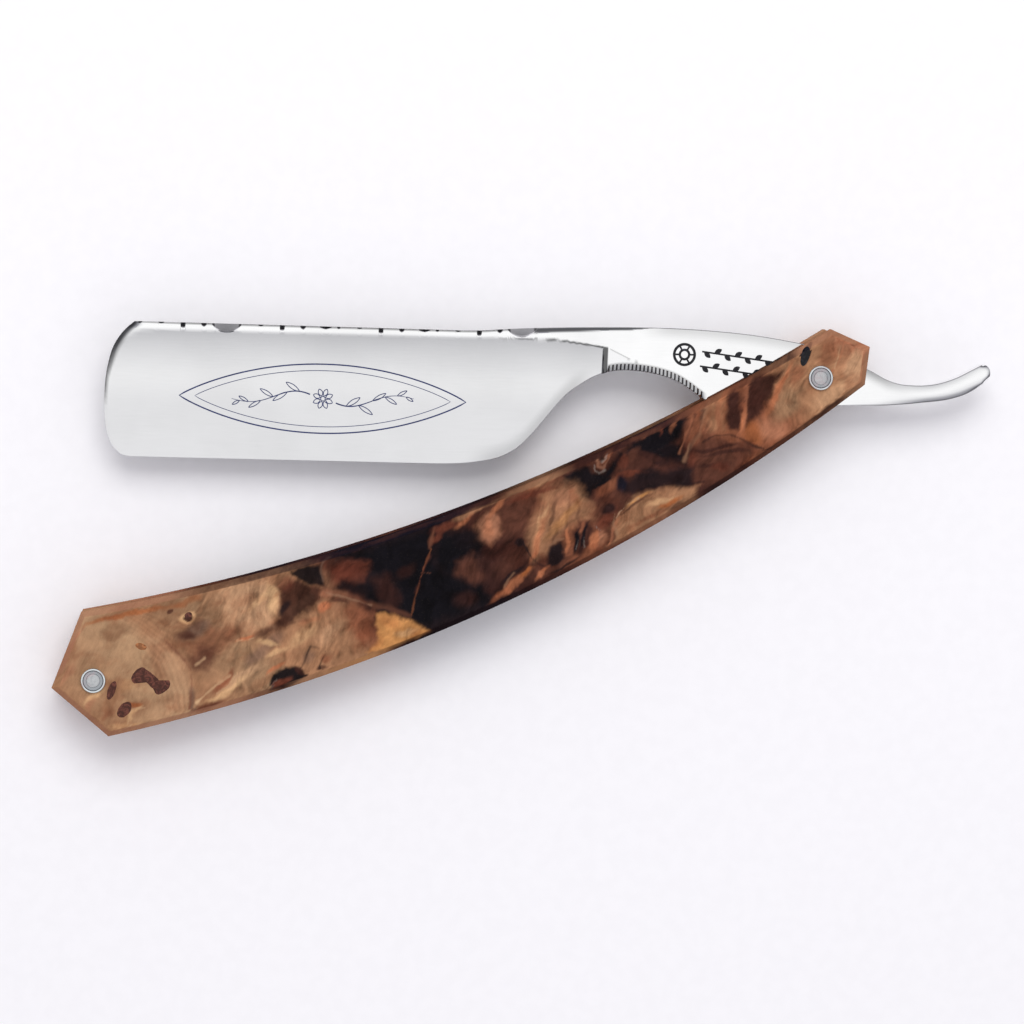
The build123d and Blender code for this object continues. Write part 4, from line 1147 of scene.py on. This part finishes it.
def outline_chains(inset):
    """Upper and lower chain of a scale's outline moved in by inset: four corners each."""
    chains = []
    for arc, sign, up in ((TOP_ARC, 1, True), (BOTTOM_ARC, -1, False)):
        ends = []
        for end in (PIVOT_END, WEDGE_END):
            tip = (end[1], end[2])
            corner_s = end[0] if up else end[3]
            corner = (corner_s, float(arc_n(arc, corner_s)))
            ends.append(inset_corner(tip, corner, arc, inset, sign))
        chains.append((ends, arc, sign * inset))
    return chains


def tip_point(chains, at):
    """Crossing of the two moved end lines at one tip."""
    (_, p, r), (_, q, t) = chains[0][0][at], chains[1][0][at]
    k = np.linalg.solve(np.stack([r, -t], 1), q - p)
    return p + r * k[0]


def chain_points(inset, first, middle, last):
    """Both chains of the outline at the same fractions: end line, long arc, end line."""
    chains = outline_chains(inset)
    tips = [tip_point(chains, at) for at in (0, 1)]
    result = []
    for ends, arc, grow in chains:
        start, stop = ends[0][0], ends[1][0]
        s = mix(start[0], stop[0], middle)
        result.append(np.concatenate([
            mix(tips[0], start, first[:, None]),
            np.stack([s, arc_n(arc, s, grow)], -1),
            mix(stop, tips[1], last[:, None])]))
    return result


def scale_loops(grid):
    """Closed sections of a scale: outer face, lower bevel and side, inner face, upper side."""
    first = np.linspace(0, 1, int(6.0 / grid))[:-1]
    middle = np.linspace(0, 1, int(134 / grid))
    last = np.linspace(0, 1, int(10.0 / grid))[1:]
    # profile of the edge: (inset, height), from the side wall up over the bevel
    edge = ((0.0, 0.25), (0.0, 1.2), (0.0, 2.12), (0.02, 2.22), (0.07, 2.30), (0.28, 2.47),
            (0.56, 2.69), (0.80, 2.88), (0.90, 2.95), (1.0, 2.99), (1.14, 3.0))
    rings = {}
    for inset, _ in edge + ((0.16, 0.0),):
        rings[inset] = chain_points(inset, first, middle, last)
    across = np.linspace(0, 1, int(17.5 / grid))[1:-1]
    parts, spots = [], []

    def ring(inset, height, which):
        plan = rings[inset][which]
        parts.append(np.concatenate([plan, np.full((len(plan), 1), height)], 1)[:, None])
        out = rings[0.0][which]
        beyond = (1 if which else -1) * (SCALE_T - height) * 0.9
        spots.append(np.stack([out[:, 0], plan[:, 1] + beyond], -1)[:, None])

    for inset, height in edge:
        ring(inset, height, 0)
    upper, lower = rings[1.14]
    face = mix(upper[:, None], lower[:, None], across[None, :, None])
    parts.append(np.concatenate([face, np.full(face.shape[:2] + (1,), SCALE_T)], 2))
    spots.append(face)
    for inset, height in edge[::-1]:
        ring(inset, height, 1)
    ring(0.16, 0.0, 1)
    inner = mix(rings[0.16][1][:, None], rings[0.16][0][:, None],
                np.linspace(0, 1, 8)[1:-1][None, :, None])
    parts.append(np.concatenate([inner, np.zeros(inner.shape[:2] + (1,))], 2))
    spots.append(inner)
    ring(0.16, 0.0, 0)
    return np.concatenate(parts, 1), np.concatenate(spots, 1)


# bevel tones by distance along the scale, upper and lower: wood tones mixed with painted reflection, the
# ink and coal stretches mirroring the dark studio
UPPER_BEVEL_REFLECTION = ((-8, "tan"), (1, "salmon"), (3, "ink"), (9, "umber"), (22, "rust"), (27, "ink"),
              (44, "umber"), (50, "tan"), (58, "umber"), (64, "ink"), (100, "ink"),
              (110, "umber"), (116, "salmon"), (140, "salmon"))
LOWER_BEVEL_REFLECTION = ((-8, "tan"), (-2, "umber"), (8, "coal"), (24, "coal"), (34, "rust"), (50, "umber"),
              (60, "coal"), (84, "coal"), (88, "gold"), (100, "tan"), (104, "umber"),
              (112, "salmon"), (140, "salmon"))


def paint_bevel_reflections(colour, s, n, height, strength=0.62):
    """Bevels in tones set by place along the scale: partly the wood's own tone, partly painted reflection,
    navy and near black where they mirror the dark studio.
    """
    middle = (arc_n(TOP_ARC, s) + arc_n(BOTTOM_ARC, s)) / 2
    on = strength * smooth(2.99, 2.86, height) * smooth(0.6, 1.6, np.abs(n - middle))
    for tints, side in ((UPPER_BEVEL_REFLECTION, n < middle), (LOWER_BEVEL_REFLECTION, n >= middle)):
        places = np.array([place for place, _ in tints], float)
        tones = linear([TONES[tone] for _, tone in tints])
        tint = np.stack([np.interp(s, places, tones[:, k]) for k in range(3)], -1)
        colour = mix(colour, tint, (on * side)[..., None])
    return colour


def to_frame(local, front):
    """From a scale's own axes, inner face at height 0, to the frame: lean, turn, lift, mirror."""
    s, n, h = local[..., 0], local[..., 1], local[..., 2]
    run = s * cos(SPLAY) + h * sin(SPLAY)
    z = -s * sin(SPLAY) + h * cos(SPLAY) + GAP_HALF
    plan = run[..., None] * ALONG + n[..., None] * ACROSS
    z = MID + (z if front else -z)
    return np.concatenate([plan, z[..., None]], -1)


def burl_material(name, gloss):
    """Stabilised burl: painted figure, fine fibres, pores, chatoyance as painted sheen and a clear coat.
    """
    shader = Shader(name)
    paint = shader.attribute("burl")
    grain = shader.noise(shader.place(stretch=(0.5, 3.4, 1.0), turn=HEADING + 0.7), 1.0, 5.0, 0.7, 0.6)
    speck = shader.noise(shader.place(), 7.0, 4.0, 0.7)
    figure = shader.noise(shader.place(), 0.55, 5.0, 0.62, 1.2)
    base = shader.mix(grain.ramp(0.25, 0.75, 0.0, 0.22), paint,
                      shader.mix(1.0, paint, (0.50, 0.46, 0.45), "MULTIPLY"))
    base = shader.mix(figure.ramp(0.52, 0.78, 0.0, 0.20), base,
                      shader.mix(1.0, base, (1.40, 1.34, 1.28), "MULTIPLY"))
    # painted sheen: bright specks stand for the wood's chatoyance
    base = shader.mix(speck.ramp(0.60, 0.80, 0.0, 0.30), base,
                      shader.mix(1.0, base, (1.7, 1.6, 1.55), "MULTIPLY"))
    dust = shader.noise(shader.place(), 9.0, 2.0, 0.6)
    base = shader.mix(dust.ramp(0.64, 0.76, 0.0, 0.10), base, (0.50, 0.38, 0.30))
    base = shader.mix(speck.ramp(0.42, 0.25, 0.0, 0.45), base, (0.02, 0.012, 0.01))
    height = grain * 0.6 + speck * 0.4
    polished = shader.attribute("polished", "Fac")
    return shader.set(base_color=base, roughness=grain.ramp(0.3, 0.7, 0.30, 0.46),
                      specular_ior_level=0.0, coat_weight=polished * gloss, coat_roughness=0.06,
                          coat_ior=1.30,
                      normal=shader.bump(height, 0.010, 0.20))


class RAZOR_OT_scales(bpy.types.Operator):
    """Front and rear scale of burl, each with its bevelled edge and painted figure"""

    bl_idname = "razor.scales"
    bl_label = "Scales"

    def execute(self, context):
        settings = context.scene.razor_scales
        material = burl_material("burl_wood", settings.gloss)
        for side, front, grid in (("front", True, settings.grid), ("rear", False, settings.grid * 1.9)):
            local, spots = scale_loops(grid)
            s, n = spots[..., 0], spots[..., 1]
            if not front:
                s = 131.0 - s
                n = n + 1.5 * np.sin(s / 20)
            colour = burl(s, n, 5 if front else 17, settings.figure)
            # painted reflection on the bevels, mixed with the wood's tone
            colour = paint_bevel_reflections(colour, local[..., 0], local[..., 1], local[..., 2])
            points = to_frame(local, front)
            faces = loop_faces(*points.shape[:2])
            add_piece(f"{side}_burl_scale", points.reshape(-1, 3), faces, material, "scales",
                      crease=24, replaces=(f"{side}_scale",),
                      colours={"burl": colour.reshape(-1, 3)},
                      values={"polished": smooth(2.15, 2.4, local[..., 2])})
        return {"FINISHED"}


# ---- wedge --------------------------------------------------------------------------------
class RAZOR_OT_wedge(bpy.types.Operator):
    """Tapered spacer between the scales, with its scooped inner end"""

    bl_idname = "razor.wedge"
    bl_label = "Wedge"

    def execute(self, context):
        last = np.linspace(0, 1, 30)[1:]
        rows = {}
        for inset in (0.08,):
            rows[inset] = chain_points(inset, np.array([0.0]), np.linspace(0, 1, 400), last)
        upper, lower = rows[0.08]
        keep = upper[:, 0] > 121.95
        upper, lower = upper[keep], lower[keep]
        across = np.linspace(0, 1, 20)
        plan = mix(upper[:, None], lower[:, None], across[None, :, None])
        scoop = 1.2 * np.sin(pi * across) ** 0.8
        fade = smooth(130, 121.95, plan[..., 0])
        plan = plan + np.stack([scoop[None] * fade, 0 * fade], -1)
        half = GAP_HALF - plan[..., 0] * tan(SPLAY) - 0.004
        front = np.concatenate([plan, half[..., None]], -1)
        rear = np.concatenate([plan, -half[..., None]], -1)
        side_low = mix(front[:, -1:], rear[:, -1:], np.array([0.25, 0.5, 0.75])[None, :, None])
        side_top = mix(rear[:, :1], front[:, :1], np.array([0.25, 0.5, 0.75])[None, :, None])
        loop = np.concatenate([front, side_low, rear[:, ::-1], side_top], 1)
        s, n, z = loop[..., 0], loop[..., 1], loop[..., 2]
        points = np.concatenate([s[..., None] * ALONG + n[..., None] * ACROSS, (MID + z)[..., None]], -1)
        faces = loop_faces(*points.shape[:2]).tolist()
        faces += end_cap(20, 3)
        colour = burl(s + z * 1.5, n + z, 9, 1.0)
        add_piece("burl_wedge", points.reshape(-1, 3), faces, burl_material("burl_wedge_wood", 0.4),
                  "scales", crease=30, replaces=("wedge",),
                  colours={"burl": colour.reshape(-1, 3)}, values={"polished": np.zeros(s.shape)})
        return {"FINISHED"}


def end_cap(across, wall):
    """Quads between the front and the rear half of the first section."""
    columns = 2 * (across + wall)
    quads = []
    for j in range(across - 1):
        mirrored = across + wall + (across - 1 - j)
        quads.append([j, j + 1, mirrored - 1, mirrored])
    quads.append([across - 1] + list(range(across, across + wall)) + [across + wall])
    quads.append([2 * across + wall - 1] + list(range(2 * across + wall, columns)) + [0])
    return quads


# ---- pins, collars and washers ------------------------------------------------------------
COLLAR_R, COLLAR_H, DISH_H, HEAD_R = 2.08, 0.44, 0.22, 1.18
HOLE_R, PIN_R, SEAT_DEPTH = 0.82, 0.80, 0.03


def seat_height(distance):
    """Height of a collar's seat over the middle plane, at a distance along the scale."""
    return GAP_HALF - distance * tan(SPLAY) + SCALE_T / cos(SPLAY) - SEAT_DEPTH


def turned(profile, turns, wobble=None):
    """Profile of (radius, height) turned about Z: x = r cos t, y = r sin t."""
    profile = np.asarray(profile, float)
    t = np.linspace(0, 2 * pi, turns, endpoint=False)
    r = np.broadcast_to(profile[:, :1], (len(profile), turns))
    z = np.broadcast_to(profile[:, 1:], (len(profile), turns)).copy()
    if wobble is not None:
        z = z + wobble(r, t[None, :])
    return np.stack([r * np.cos(t), r * np.sin(t), z], -1)


def peen(seed):
    """Hammer marks of a peened head: shallow facets from a cloud, fading at the rim."""
    def height(r, t):
        x, y = r * np.cos(t), r * np.sin(t)
        marks = cloud(x / 0.55 + 7, y / 0.55 + 9, seed, 3)
        swirl = 0.012 * np.sin(2 * t + 5.5 * r + seed) * smooth(0.0, 0.5, r)
        return (0.030 * marks + swirl) * smooth(HEAD_R, HEAD_R * 0.7, r)
    return height


def rim_chatter(seed):
    """Small unevenness round a collar's rim."""
    def height(r, t):
        return 0.010 * cloud(4 + 3 * np.cos(t), 4 + 3 * np.sin(t), seed, 3) * smooth(1.2, 1.9, r)
    return height


def lathe_piece(name, profile, centre, side, seat, turns, material, node, wobble=None):
    """A turned piece on the front (side 1) or rear (side -1), from a profile that joins up."""
    shape = turned(profile, turns, wobble)
    shape[..., 2] = MID + side * (seat + shape[..., 2])
    shape[..., 0] += centre[0]
    shape[..., 1] += centre[1]
    shape = np.concatenate([shape, shape[:1]], 0)
    faces = loop_faces(shape.shape[0], turns)
    # dished marks the collar's dish, where the nickel gets painted shade
    from_axis = np.hypot(shape[..., 0] - centre[0], shape[..., 1] - centre[1])
    return add_piece(name, shape.reshape(-1, 3), faces, material, "scales", crease=40,
                     replaces=(node,),
                     values={"dished": smooth(1.80, 1.66, from_axis)})


def collar_profile():
    """Rounded rim, fine groove, dished middle and flat back, as (radius, height)."""
    t = np.linspace(0, pi / 2, 6)
    outer = [(COLLAR_R - 0.14 + 0.14 * cos(a), COLLAR_H - 0.14 + 0.14 * sin(a)) for a in t]
    inner = [(1.80 - 0.10 * sin(a), COLLAR_H - 0.10 + 0.10 * cos(a)) for a in t]
    dish = [(1.68, 0.30), (1.64, 0.262), (1.58, 0.240), (1.50, 0.226), (1.40, DISH_H),
            (1.28, DISH_H), (1.18, DISH_H), (HOLE_R, DISH_H)]
    return [(HOLE_R, 0.0), (COLLAR_R, 0.0), (COLLAR_R, 0.12)] + outer + inner + dish


def head_profile():
    """Low dome with a rolled rim, from the rim's foot to the axis."""
    t = np.linspace(0, 1, 16)[1:]
    rim = [(0.0, DISH_H - 0.05), (HEAD_R, DISH_H - 0.05), (HEAD_R, DISH_H + 0.07),
           (HEAD_R - 0.02, DISH_H + 0.11), (HEAD_R - 0.06, DISH_H + 0.135)]
    dome = [((HEAD_R - 0.06) * (1 - k), DISH_H + 0.135 + 0.10 * (1 - (1 - k) ** 2)) for k in t]
    return rim + dome


def nickel_material(name, colour):
    """Nickel silver with faint stains and wear, and painted shade that darkens its dish."""
    shader = Shader(name)
    rings = shader.noise(shader.place(), 3.2, 5.0, 0.65, 0.4)
    stain = shader.noise(shader.place(), 0.5, 3.0, 0.6, 0.8)
    dished = shader.attribute("dished", "Fac")
    # painted shade: the dish is darker than the rim
    base = shader.mix(dished, colour, (0.34, 0.36, 0.38))
    base = shader.mix(stain.ramp(0.42, 0.66, 0.0, 0.55), base, (0.50, 0.40, 0.42))
    base = shader.mix(rings.ramp(0.55, 0.8, 0.0, 0.3), base, (0.30, 0.34, 0.33))
    return shader.set(base_color=base, metallic=1.0, roughness=rings.ramp(0.3, 0.7, 0.16, 0.32),
                      normal=shader.bump(rings, 0.008, 0.4))


class RAZOR_OT_hardware(bpy.types.Operator):
    """Two pins with peened heads, four collars and two washers"""

    bl_idname = "razor.hardware"
    bl_label = "Pins, collars and washers"

    def execute(self, context):
        settings = context.scene.razor_hardware
        turns = settings.turns
        nickel = nickel_material("collar_nickel", tuple(settings.nickel))
        pin_metal = nickel_material("pin_nickel", (0.50, 0.51, 0.52))
        wedge_at = WEDGE_PIN_S * ALONG
        for number, (name, centre, distance) in enumerate(
                (("pivot", (0.0, 0.0), 0.0), ("wedge", wedge_at, WEDGE_PIN_S))):
            seat = seat_height(distance)
            for side, label in ((1, "front"), (-1, "rear")):
                lathe_piece(f"{name}_{label}_collar", collar_profile(), centre, side, seat, turns,
                            nickel, f"{name}_collar_{label}",
                            rim_chatter(3 + number))
            heads = []
            for side in (1, -1):
                shape = turned(head_profile(), turns // 2, peen(number * 7 + side + 20))
                shape[..., 2] = MID + side * (seat + shape[..., 2])
                heads.append((shape.reshape(-1, 3), loop_faces(shape.shape[0], turns // 2).tolist()))
            reach = seat + DISH_H - 0.02
            shaft = turned([(0, -reach), (PIN_R, -reach), (PIN_R, 0), (PIN_R, reach), (0, reach)], 48)
            shaft[..., 2] += MID
            heads.append((shaft.reshape(-1, 3), loop_faces(5, 48).tolist()))
            points, faces = join(heads)
            points[:, 0] += centre[0]
            points[:, 1] += centre[1]
            add_piece(f"{name}_peened_pin", points, faces, pin_metal, "scales", crease=40,
                      replaces=(f"{name}_pin",))
        self.washers(settings)
        return {"FINISHED"}

    def washers(self, settings):
        shader = Shader("washer_brass")
        lines = shader.noise(shader.place(), 4.0, 5.0, 0.6)
        base = shader.mix(lines.ramp(0.3, 0.7), tuple(settings.brass), (0.40, 0.26, 0.11))
        material = shader.set(base_color=base, metallic=1.0,
                              roughness=lines.ramp(0.3, 0.7, 0.22, 0.4),
                              normal=shader.bump(lines, 0.01, 0.5))
        radius, thick, lift = 3.2, 0.22, 0.035
        low = GAP_HALF - lift - thick
        edge = 0.04
        profile = [(HOLE_R, 0), (radius - edge, 0), (radius, edge), (radius, thick - edge),
                   (radius - edge, thick), (HOLE_R, thick)]
        for side, label in ((1, "front"), (-1, "rear")):
            lathe_piece(f"{label}_pivot_washer", profile, (0.0, 0.0), side, low, 96, material,
                        f"pivot_washer_{label}")


# ---- resin --------------------------------------------------------------------------------
FRONT_FILLS = ((((125.35, 2.25, 28, 3.1, 2.1), (123.75, 3.8, 109, 4.6, 1.75),
                 (122.55, 5.55, 21, 3.2, 1.7)), "garnet"),
               (((130.6, 2.7, 48, 3.2, 1.3),), "garnet"), (((129.9, 6.55, 28, 3.1, 1.9),), "garnet"),
               (((123.2, -2.2, -40, 1.9, 1.1),), "amber"), (((113.9, -4.0, 10, 1.3, 1.0),), "garnet"),
               (((1.0, -4.45, 52, 3.3, 1.4),), "black"))
REAR_FILLS = ((((116.0, 3.6, 30, 3.4, 1.9),), "umber"), (((121.5, -4.2, -40, 2.2, 1.4),), "umber"),
              (((66.0, 7.5, 15, 3.0, 1.2),), "umber"), (((31.0, 1.6, -20, 2.2, 1.3),), "umber"))


def fill_radius(angle, centre, ovals):
    """Distance from centre to the outline of the joined ovals in each direction.

    A ray is sampled outwards; the outline is the farthest sample that lies in any oval.
    """
    r = np.linspace(0.05, 4.5, 500)[None, :]
    s = centre[0] + r * np.cos(angle)[:, None]
    n = centre[1] + r * np.sin(angle)[:, None]
    inside = np.zeros(s.shape, bool)
    for along, across, turn, length, width in ovals:
        inside |= patch_distance(s, n, (along, across, length, width, turn)) < 1
    return (r * inside).max(1)


def resin_lens(ovals, front, seed):
    """A pool of resin: rings shrink from the ragged outline to a pole, slightly sunk and wavy."""
    centre = np.mean([(o[0], o[1]) for o in ovals], 0)
    angle = np.linspace(0, 2 * pi, 72, endpoint=False)
    reach = fill_radius(angle, centre, ovals)
    ragged = 1 + 0.05 * cloud(3 + 2 * np.cos(angle), 3 + 2 * np.sin(angle), seed, 3)
    share = np.array([1.02, 1.0, 0.97, 0.92, 0.84, 0.72, 0.58, 0.42, 0.26, 0.12, 0.0])
    r = share[:, None] * (reach * ragged)[None]
    s, n = centre[0] + r * np.cos(angle), centre[1] + r * np.sin(angle)
    ripple = 0.03 * cloud(s / 0.8, n / 0.8, seed + 3, 3) * (1 - share[:, None] ** 2)
    height = SCALE_T + 0.012 + 0.05 * (1 - share[:, None] ** 2) + np.clip(ripple, -0.03, 0.05)
    height[0] = SCALE_T - 0.03
    top = np.stack([s, n, bevel_drop(s, n, height)], -1)
    foot = top[:1].copy()
    foot[..., 2] -= 0.7
    middle = np.tile(np.array([centre[0], centre[1], 0.0]), (1, len(angle), 1))
    middle[..., 2] = foot[..., 2].mean()
    grid = np.concatenate([middle, foot, top], 0)
    return to_frame(grid, front).reshape(-1, 3), loop_faces(grid.shape[0], len(angle)).tolist()


def bevel_drop(s, n, height):
    """Keeps a pool on the bevel where it runs over the edge of the outer face."""
    edge = arc_n(TOP_ARC, s) + BEVEL_WIDTH
    return height - np.clip(edge - n, 0, BEVEL_WIDTH) * BEVEL_DEPTH / BEVEL_WIDTH


def resin_material(name, tone):
    """Clear-coated resin in one of the named tones, clouded a little, with light specks as painted glints.
    """
    shader = Shader(name)
    swirl = shader.noise(shader.place(), 0.9, 4.0, 0.6, 1.5)
    speck = shader.noise(shader.place(), 5.0, 3.0, 0.6)
    colour = tuple(linear(TONES[tone]))
    light = tuple(c * 2.6 + 0.004 for c in colour)
    base = shader.mix(swirl.ramp(0.42, 0.66), colour, light)
    # painted highlight: light specks stand for glints on the resin
    base = shader.mix(speck.ramp(0.66, 0.78, 0.0, 0.4), base, (0.30, 0.20, 0.14))
    return shader.set(base_color=base, roughness=swirl.ramp(0.3, 0.7, 0.10, 0.22),
                      specular_ior_level=0.10, coat_weight=0.30, coat_roughness=0.03, coat_ior=1.4,
                      normal=shader.bump(swirl, 0.08, 0.6))


class RAZOR_OT_resin(bpy.types.Operator):
    """Pools of dark resin that fill the burl's voids"""

    bl_idname = "razor.resin"
    bl_label = "Resin fills"

    def execute(self, context):
        materials = {tone: resin_material(f"resin_{tone}", tone)
                     for tone in ("garnet", "umber", "amber", "black")}
        for side, front, groups in (("front", True, FRONT_FILLS), ("rear", False, REAR_FILLS)):
            for number, (ovals, tone) in enumerate(groups):
                points, faces = resin_lens(ovals, front, 60 + number)
                add_piece(f"{side}_resin_{number + 1}", points, faces, materials[tone], "scales",
                          crease=50, replaces=(f"{side}_resin_fills",))
        return {"FINISHED"}


# ---- stage --------------------------------------------------------------------------------
class RAZOR_OT_stage(bpy.types.Operator):
    """Pale floor, soft studio light and the camera"""

    bl_idname = "razor.stage"
    bl_label = "Floor, light and camera"

    def execute(self, context):
        self.floor()
        self.light()
        self.world()
        self.camera()
        context.scene.view_settings.view_transform = "Standard"
        return {"FINISHED"}

    def floor(self):
        low = min(cad_box[0][2], 0.0) - 0.00002
        shader = Shader("pale_floor")
        grain = shader.noise(shader.place(), 0.4, 3.0, 0.5)
        base = shader.mix(grain.ramp(0.3, 0.7), (0.90, 0.90, 0.905), (0.915, 0.915, 0.92))
        shader.set(base_color=base, roughness=0.9, specular_ior_level=0.0)
        mesh = bpy.data.meshes.new("studio_floor")
        half = 3.0
        mesh.from_pydata([(-half, -half, low), (half, -half, low), (half, half, low), (-half, half, low)],
                         [], [(0, 1, 2, 3)])
        mesh.materials.append(shader.material)
        floor = bpy.data.objects.new("studio_floor", mesh)
        bpy.context.scene.collection.objects.link(floor)

    def light(self):
        lamp = bpy.data.lights.new("soft_box", "AREA")
        lamp.shape, lamp.size, lamp.size_y = "RECTANGLE", 0.9, 0.6
        lamp.energy = 6.0
        lamp.color = (1.0, 0.99, 0.985)
        box = bpy.data.objects.new("soft_box", lamp)
        box.location = (-0.05, 0.62, 0.85)
        aim = Vector((-0.05, -0.02, 0.0)) - box.location
        box.rotation_euler = aim.to_track_quat("-Z", "Y").to_euler()
        box.visible_glossy = False
        bpy.context.scene.collection.objects.link(box)

    def world(self):
        world = bpy.data.worlds.new("studio")
        bpy.context.scene.world = world
        world.use_nodes = True
        tree = world.node_tree
        tree.nodes.clear()
        new, link = tree.nodes.new, tree.links.new
        coords = new("ShaderNodeTexCoord")
        split = new("ShaderNodeSeparateXYZ")
        link(coords.outputs["Generated"], split.inputs[0])
        ramp = new("ShaderNodeValToRGB")
        stops = ((0.0, (0.055, 0.054, 0.060)), (0.15, (0.08, 0.079, 0.09)), (0.35, (0.18, 0.18, 0.20)),
                 (0.55, (0.42, 0.42, 0.45)), (0.70, (0.66, 0.66, 0.68)), (0.90, (0.92, 0.92, 0.93)),
                 (1.0, (1.06, 1.06, 1.06)))
        while len(ramp.color_ramp.elements) < len(stops):
            ramp.color_ramp.elements.new(1.0)
        for element, (place, colour) in zip(ramp.color_ramp.elements, stops):
            element.position, element.color = place, (*colour, 1.0)
        link(split.outputs["Z"], ramp.inputs[0])
        path = new("ShaderNodeLightPath")
        glossy = new("ShaderNodeBackground")
        link(ramp.outputs[0], glossy.inputs["Color"])
        soft = new("ShaderNodeBackground")
        soft.inputs["Color"].default_value = (0.93, 0.91, 0.97, 1.0)
        soft.inputs["Strength"].default_value = 0.77
        seen = new("ShaderNodeBackground")
        seen.inputs["Color"].default_value = (0.96, 0.96, 0.965, 1.0)
        first, second = new("ShaderNodeMixShader"), new("ShaderNodeMixShader")
        link(path.outputs["Is Glossy Ray"], first.inputs[0])
        link(soft.outputs[0], first.inputs[1])
        link(glossy.outputs[0], first.inputs[2])
        link(path.outputs["Is Camera Ray"], second.inputs[0])
        link(first.outputs[0], second.inputs[1])
        link(seen.outputs[0], second.inputs[2])
        output = new("ShaderNodeOutputWorld")
        link(second.outputs[0], output.inputs["Surface"])

    def camera(self):
        lens = bpy.data.cameras.new("camera")
        lens.lens, lens.sensor_width = 120.097, 36.0
        lens.clip_start, lens.clip_end = 0.01, 20.0
        camera = bpy.data.objects.new("camera", lens)
        forward = Vector((0.07328, -0.0513, -0.99599)).normalized()
        up = Vector((-0.02231, 0.99834, -0.05306)).normalized()
        right = forward.cross(up).normalized()
        up = right.cross(forward)
        turn = Matrix((right, up, -forward)).transposed().to_4x4()
        camera.matrix_world = Matrix.Translation(Vector((-93.976, 5.652, MID + 579.0)) * MM) @ turn
        bpy.context.scene.collection.objects.link(camera)
        bpy.context.scene.camera = camera


# ---- add-on -------------------------------------------------------------------------------
OPERATORS = (RAZOR_OT_blade, RAZOR_OT_markings, RAZOR_OT_scales, RAZOR_OT_wedge, RAZOR_OT_hardware,
             RAZOR_OT_resin, RAZOR_OT_stage)
SETTINGS = (("razor_blade", BladeSettings), ("razor_scales", ScaleSettings),
            ("razor_hardware", HardwareSettings))


class RAZOR_PT_panel(bpy.types.Panel):
    """Lists the razor's pieces"""

    bl_label = "Straight Razor"
    bl_idname = "RAZOR_PT_panel"
    bl_space_type = "VIEW_3D"
    bl_region_type = "UI"
    bl_category = "Razor"

    def draw(self, context):
        for operator in OPERATORS:
            self.layout.operator(operator.bl_idname)


def register():
    """Register the settings, the operators and the panel."""
    for name, group in SETTINGS:
        bpy.utils.register_class(group)
        setattr(bpy.types.Scene, name, bpy.props.PointerProperty(type=group))
    for kind in OPERATORS + (RAZOR_PT_panel,):
        bpy.utils.register_class(kind)


def unregister():
    """Remove what register added, in reverse order."""
    for kind in (RAZOR_PT_panel,) + OPERATORS[::-1]:
        bpy.utils.unregister_class(kind)
    for name, group in SETTINGS[::-1]:
        delattr(bpy.types.Scene, name)
        bpy.utils.unregister_class(group)


def main():
    register()
    for operator in OPERATORS:
        group, name = operator.bl_idname.split(".")
        getattr(getattr(bpy.ops, group), name)()


if __name__ == "__main__":
    main()
